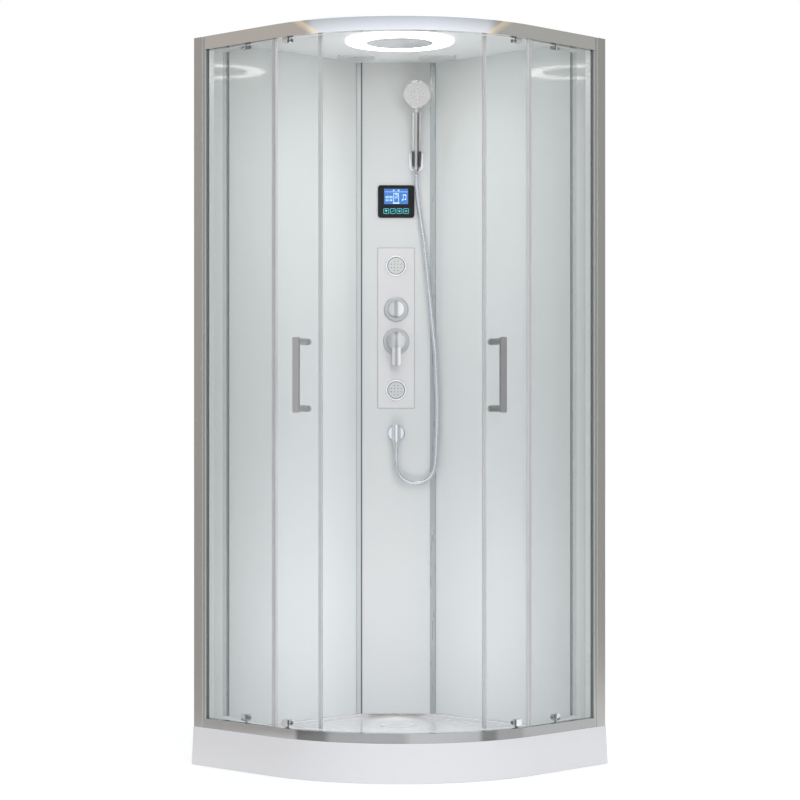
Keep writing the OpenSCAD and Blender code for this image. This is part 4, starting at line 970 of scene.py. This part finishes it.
class CABIN_OT_controls(bpy.types.Operator):
    """Finishes the rings, the diverter, the mixer and the hose outlet"""

    bl_idname = "cabin.controls"
    bl_label = "Mixer, diverter and outlet"

    def execute(self, context):
        low, high = BETWEEN_JETS
        rings = dress("control_rings", finish_named("satin"), "cabin", "chrome", 0.6, 3)
        second_finish(rings, finish_named("jet_rim"), lambda centre, normal: not low < centre.z < high)
        # The diverter knob and the mixer lever carry painted reflections in bands.
        dress("diverter_knob", finish_named("split"), "diverter_knob_body", "chrome", 1.0, 3)
        dress("mixer_spindle", finish_named("steel"), "mixer_spindle_body", "spindle_metal", 0.3)
        dress("mixer_lever", finish_named("split"), "mixer_lever_body", "chrome", 1.2, 3)
        dress("hose_outlet", finish_named("chrome"), "cabin", "chrome", 0.6, 3)
        dress("valve_body", finish_named("brass"), "cabin", "valve_brass", 0.8)
        dress("water_pipes", finish_named("pipe"), "cabin", "pipe_plastic", 0)
        return {"FINISHED"}


class CABIN_OT_hand_shower(bpy.types.Operator):
    """Makes the hand shower: shell, handle, face and nozzles, and finishes its holder"""

    bl_idname = "cabin.hand_shower"
    bl_label = "Hand shower"

    def execute(self, context):
        body = "hand_shower_body"
        # The hand shower's chrome carries painted reflections in bands.
        shower = dress("hand_shower", finish_named("handle_chrome"), body, "chrome", 0.6, 3)
        holder = dress("hand_holder", finish_named("chrome"), "cabin", "chrome", 0.8, 3)
        middle = Vector(HOLDER)
        # Painted dark reflection: the holder's facets beside its mouth, in front, get the dark plastic
        # finish.
        second_finish(holder, finish_named("knob"), lambda centre, normal: (
            0.0085 < abs(centre.x - middle.x) < 0.0145 and centre.y < middle.y - 0.008
            and abs(normal.z) < 0.5))
        head = hand() @ Matrix.Translation(HEAD_PLACE) @ Matrix.Rotation(HEAD_TURN, 4, "X")
        face = turned("face", [
            (0, 12.2), (16, 12.25), (23.4, 12.2), (23.8, 12.05), (24.6, 12.05), (25, 12.2), (42.4, 12.0),
            (44.2, 11.2), (44.2, 10.2), (0, 10.2),
        ], 96)
        back = head.inverted()
        second_finish(shower, finish_named("pale"), lambda centre, normal: (
            (back @ centre).xy.length > 0.03 and abs((back @ centre).z) < 0.0135))
        face = smooth(placed(face, head), 20)
        face.name = "hand_shower_face"
        finish(face, finish_named("pale"), body, "white_plastic")
        tip = turned("nozzle", [(0, 0.9), (0.5, 0.9), (0.9, 0.2), (1.0, -0.4), (0, -0.4)], 10)
        places = []
        for radius, count in ((28.5, 26), (33.5, 32), (38.5, 38)):
            for k in range(count):
                turn = Matrix.Rotation(2 * math.pi * k / count, 4, "Z")
                places.append(head @ turn @ Matrix.Translation((radius * MM, 0, 0.0121)))
        nozzles = smooth(copies(tip, "hand_shower_nozzles", places))
        finish(nozzles, finish_named("tip"), body, "white_plastic")
        hole = turned("hole", [(0, 0.35), (1.2, 0.35), (1.5, 0.1), (1.5, -0.4), (0, -0.4)], 12)
        places = []
        for radius, count in ((0.0115, 4), (0.0195, 10)):
            for k in range(count):
                turn = Matrix.Rotation(math.pi / 4 + 2 * math.pi * k / count, 4, "Z")
                places.append(head @ turn @ Matrix.Translation((radius, 0, 0.0122)))
        holes = smooth(copies(hole, "hand_shower_holes", places))
        finish(holes, finish_named("nozzle"), body, "knob_grey")
        return {"FINISHED"}


class CABIN_OT_roof(bpy.types.Operator):
    """Finishes the roof, the ring light, the rain shower, the grilles and what stands on the roof"""

    bl_idname = "cabin.roof"
    bl_label = "Roof and its fittings"

    def execute(self, context):
        dress("roof", finish_named("ceiling"), "cabin", "acrylic_white", 0.8)
        dress("rain_shower", finish_named("mirror"), "cabin", "chrome", 0.6)
        dress("fan_grille", finish_named("white"), "cabin", "white_plastic", 0.5)
        dress("speaker", finish_named("white"), "cabin", "white_plastic", 0.5)
        dress("fan_rotor", finish_named("knob"), "fan_rotor_body", "rotor_black", 0.3)
        dress("control_box", finish_named("white"), "cabin", "white_plastic", 1.0)
        dress("screws", finish_named("chrome"), "cabin", "chrome", 0.2)
        self.ring_light()
        return {"FINISHED"}

    def ring_light(self):
        """A white rim with a lit ring let into its lower face; the rim's outer edge has a faint painted glow.
        """
        low, high = (Vector(corner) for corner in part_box("ring_light"))
        h = (high.z - low.z) / MM
        outer = (high.x - low.x) / 2 / MM
        bore = outer - 67.5
        ring = turned("ring_light_finished", [
            (bore, h), (bore, 0.6), (bore + 0.6, 0), (bore + 4, 0), (bore + 4.6, 0.6), (outer - 9, 0.6),
            (outer - 8.4, 0), (outer - 3.6, 0), (outer - 2.6, 0.5), (outer, 3), (outer, h), (bore, h),
        ], 96)
        placed(ring, Matrix.Translation(((low.x + high.x) / 2, (low.y + high.y) / 2, low.z)))
        smooth(ring, 20)
        finish(ring, finish_named("ceiling"), "cabin", "white_plastic", "ring_light")
        lit = low.z + 0.3 * MM
        second_finish(ring, finish_named("diffuser"), lambda centre, normal: (
            normal.z < -0.9 and centre.z > lit))
        # Painted glow on the rim's outer edge, which is no lamp.
        axis = Vector(((low.x + high.x) / 2, (low.y + high.y) / 2))
        rim = (outer - 8.6) * MM
        second_finish(ring, finish_named("rim"), lambda centre, normal: (
            (centre.xy - axis).length > rim and normal.z < 0.5))


STEPS = (
    CABIN_OT_stage, CABIN_OT_hose, CABIN_OT_tray, CABIN_OT_frame, CABIN_OT_glass, CABIN_OT_doors,
    CABIN_OT_walls, CABIN_OT_display, CABIN_OT_jets, CABIN_OT_controls, CABIN_OT_hand_shower,
    CABIN_OT_roof,
)


class CABIN_PT_steps(bpy.types.Panel):
    """Lists the steps and the values"""

    bl_idname = "CABIN_PT_steps"
    bl_label = "Shower Cabin"
    bl_space_type = "VIEW_3D"
    bl_region_type = "UI"
    bl_category = "Shower Cabin"

    def draw(self, context):
        column = self.layout.column()
        for group in (context.scene.cabin_stage, context.scene.cabin_looks):
            for value in group.bl_rna.properties:
                if value.identifier not in ("rna_type", "name"):
                    column.prop(group, value.identifier)
        for step in STEPS:
            column.operator(step.bl_idname)


CLASSES = (CabinLooks, CabinStage, *STEPS, CABIN_PT_steps)


def register():
    for cls in CLASSES:
        bpy.utils.register_class(cls)
    bpy.types.Scene.cabin_looks = bpy.props.PointerProperty(type=CabinLooks)
    bpy.types.Scene.cabin_stage = bpy.props.PointerProperty(type=CabinStage)


def unregister():
    del bpy.types.Scene.cabin_stage
    del bpy.types.Scene.cabin_looks
    for cls in reversed(CLASSES):
        bpy.utils.unregister_class(cls)


def main():
    register()
    bpy.ops.cabin.stage()
    bpy.ops.cabin.hose()
    bpy.ops.cabin.tray()
    bpy.ops.cabin.frame()
    bpy.ops.cabin.glass()
    bpy.ops.cabin.doors()
    bpy.ops.cabin.walls()
    bpy.ops.cabin.display()
    bpy.ops.cabin.jets()
    bpy.ops.cabin.controls()
    bpy.ops.cabin.hand_shower()
    bpy.ops.cabin.roof()


if __name__ == "__main__":
    main()
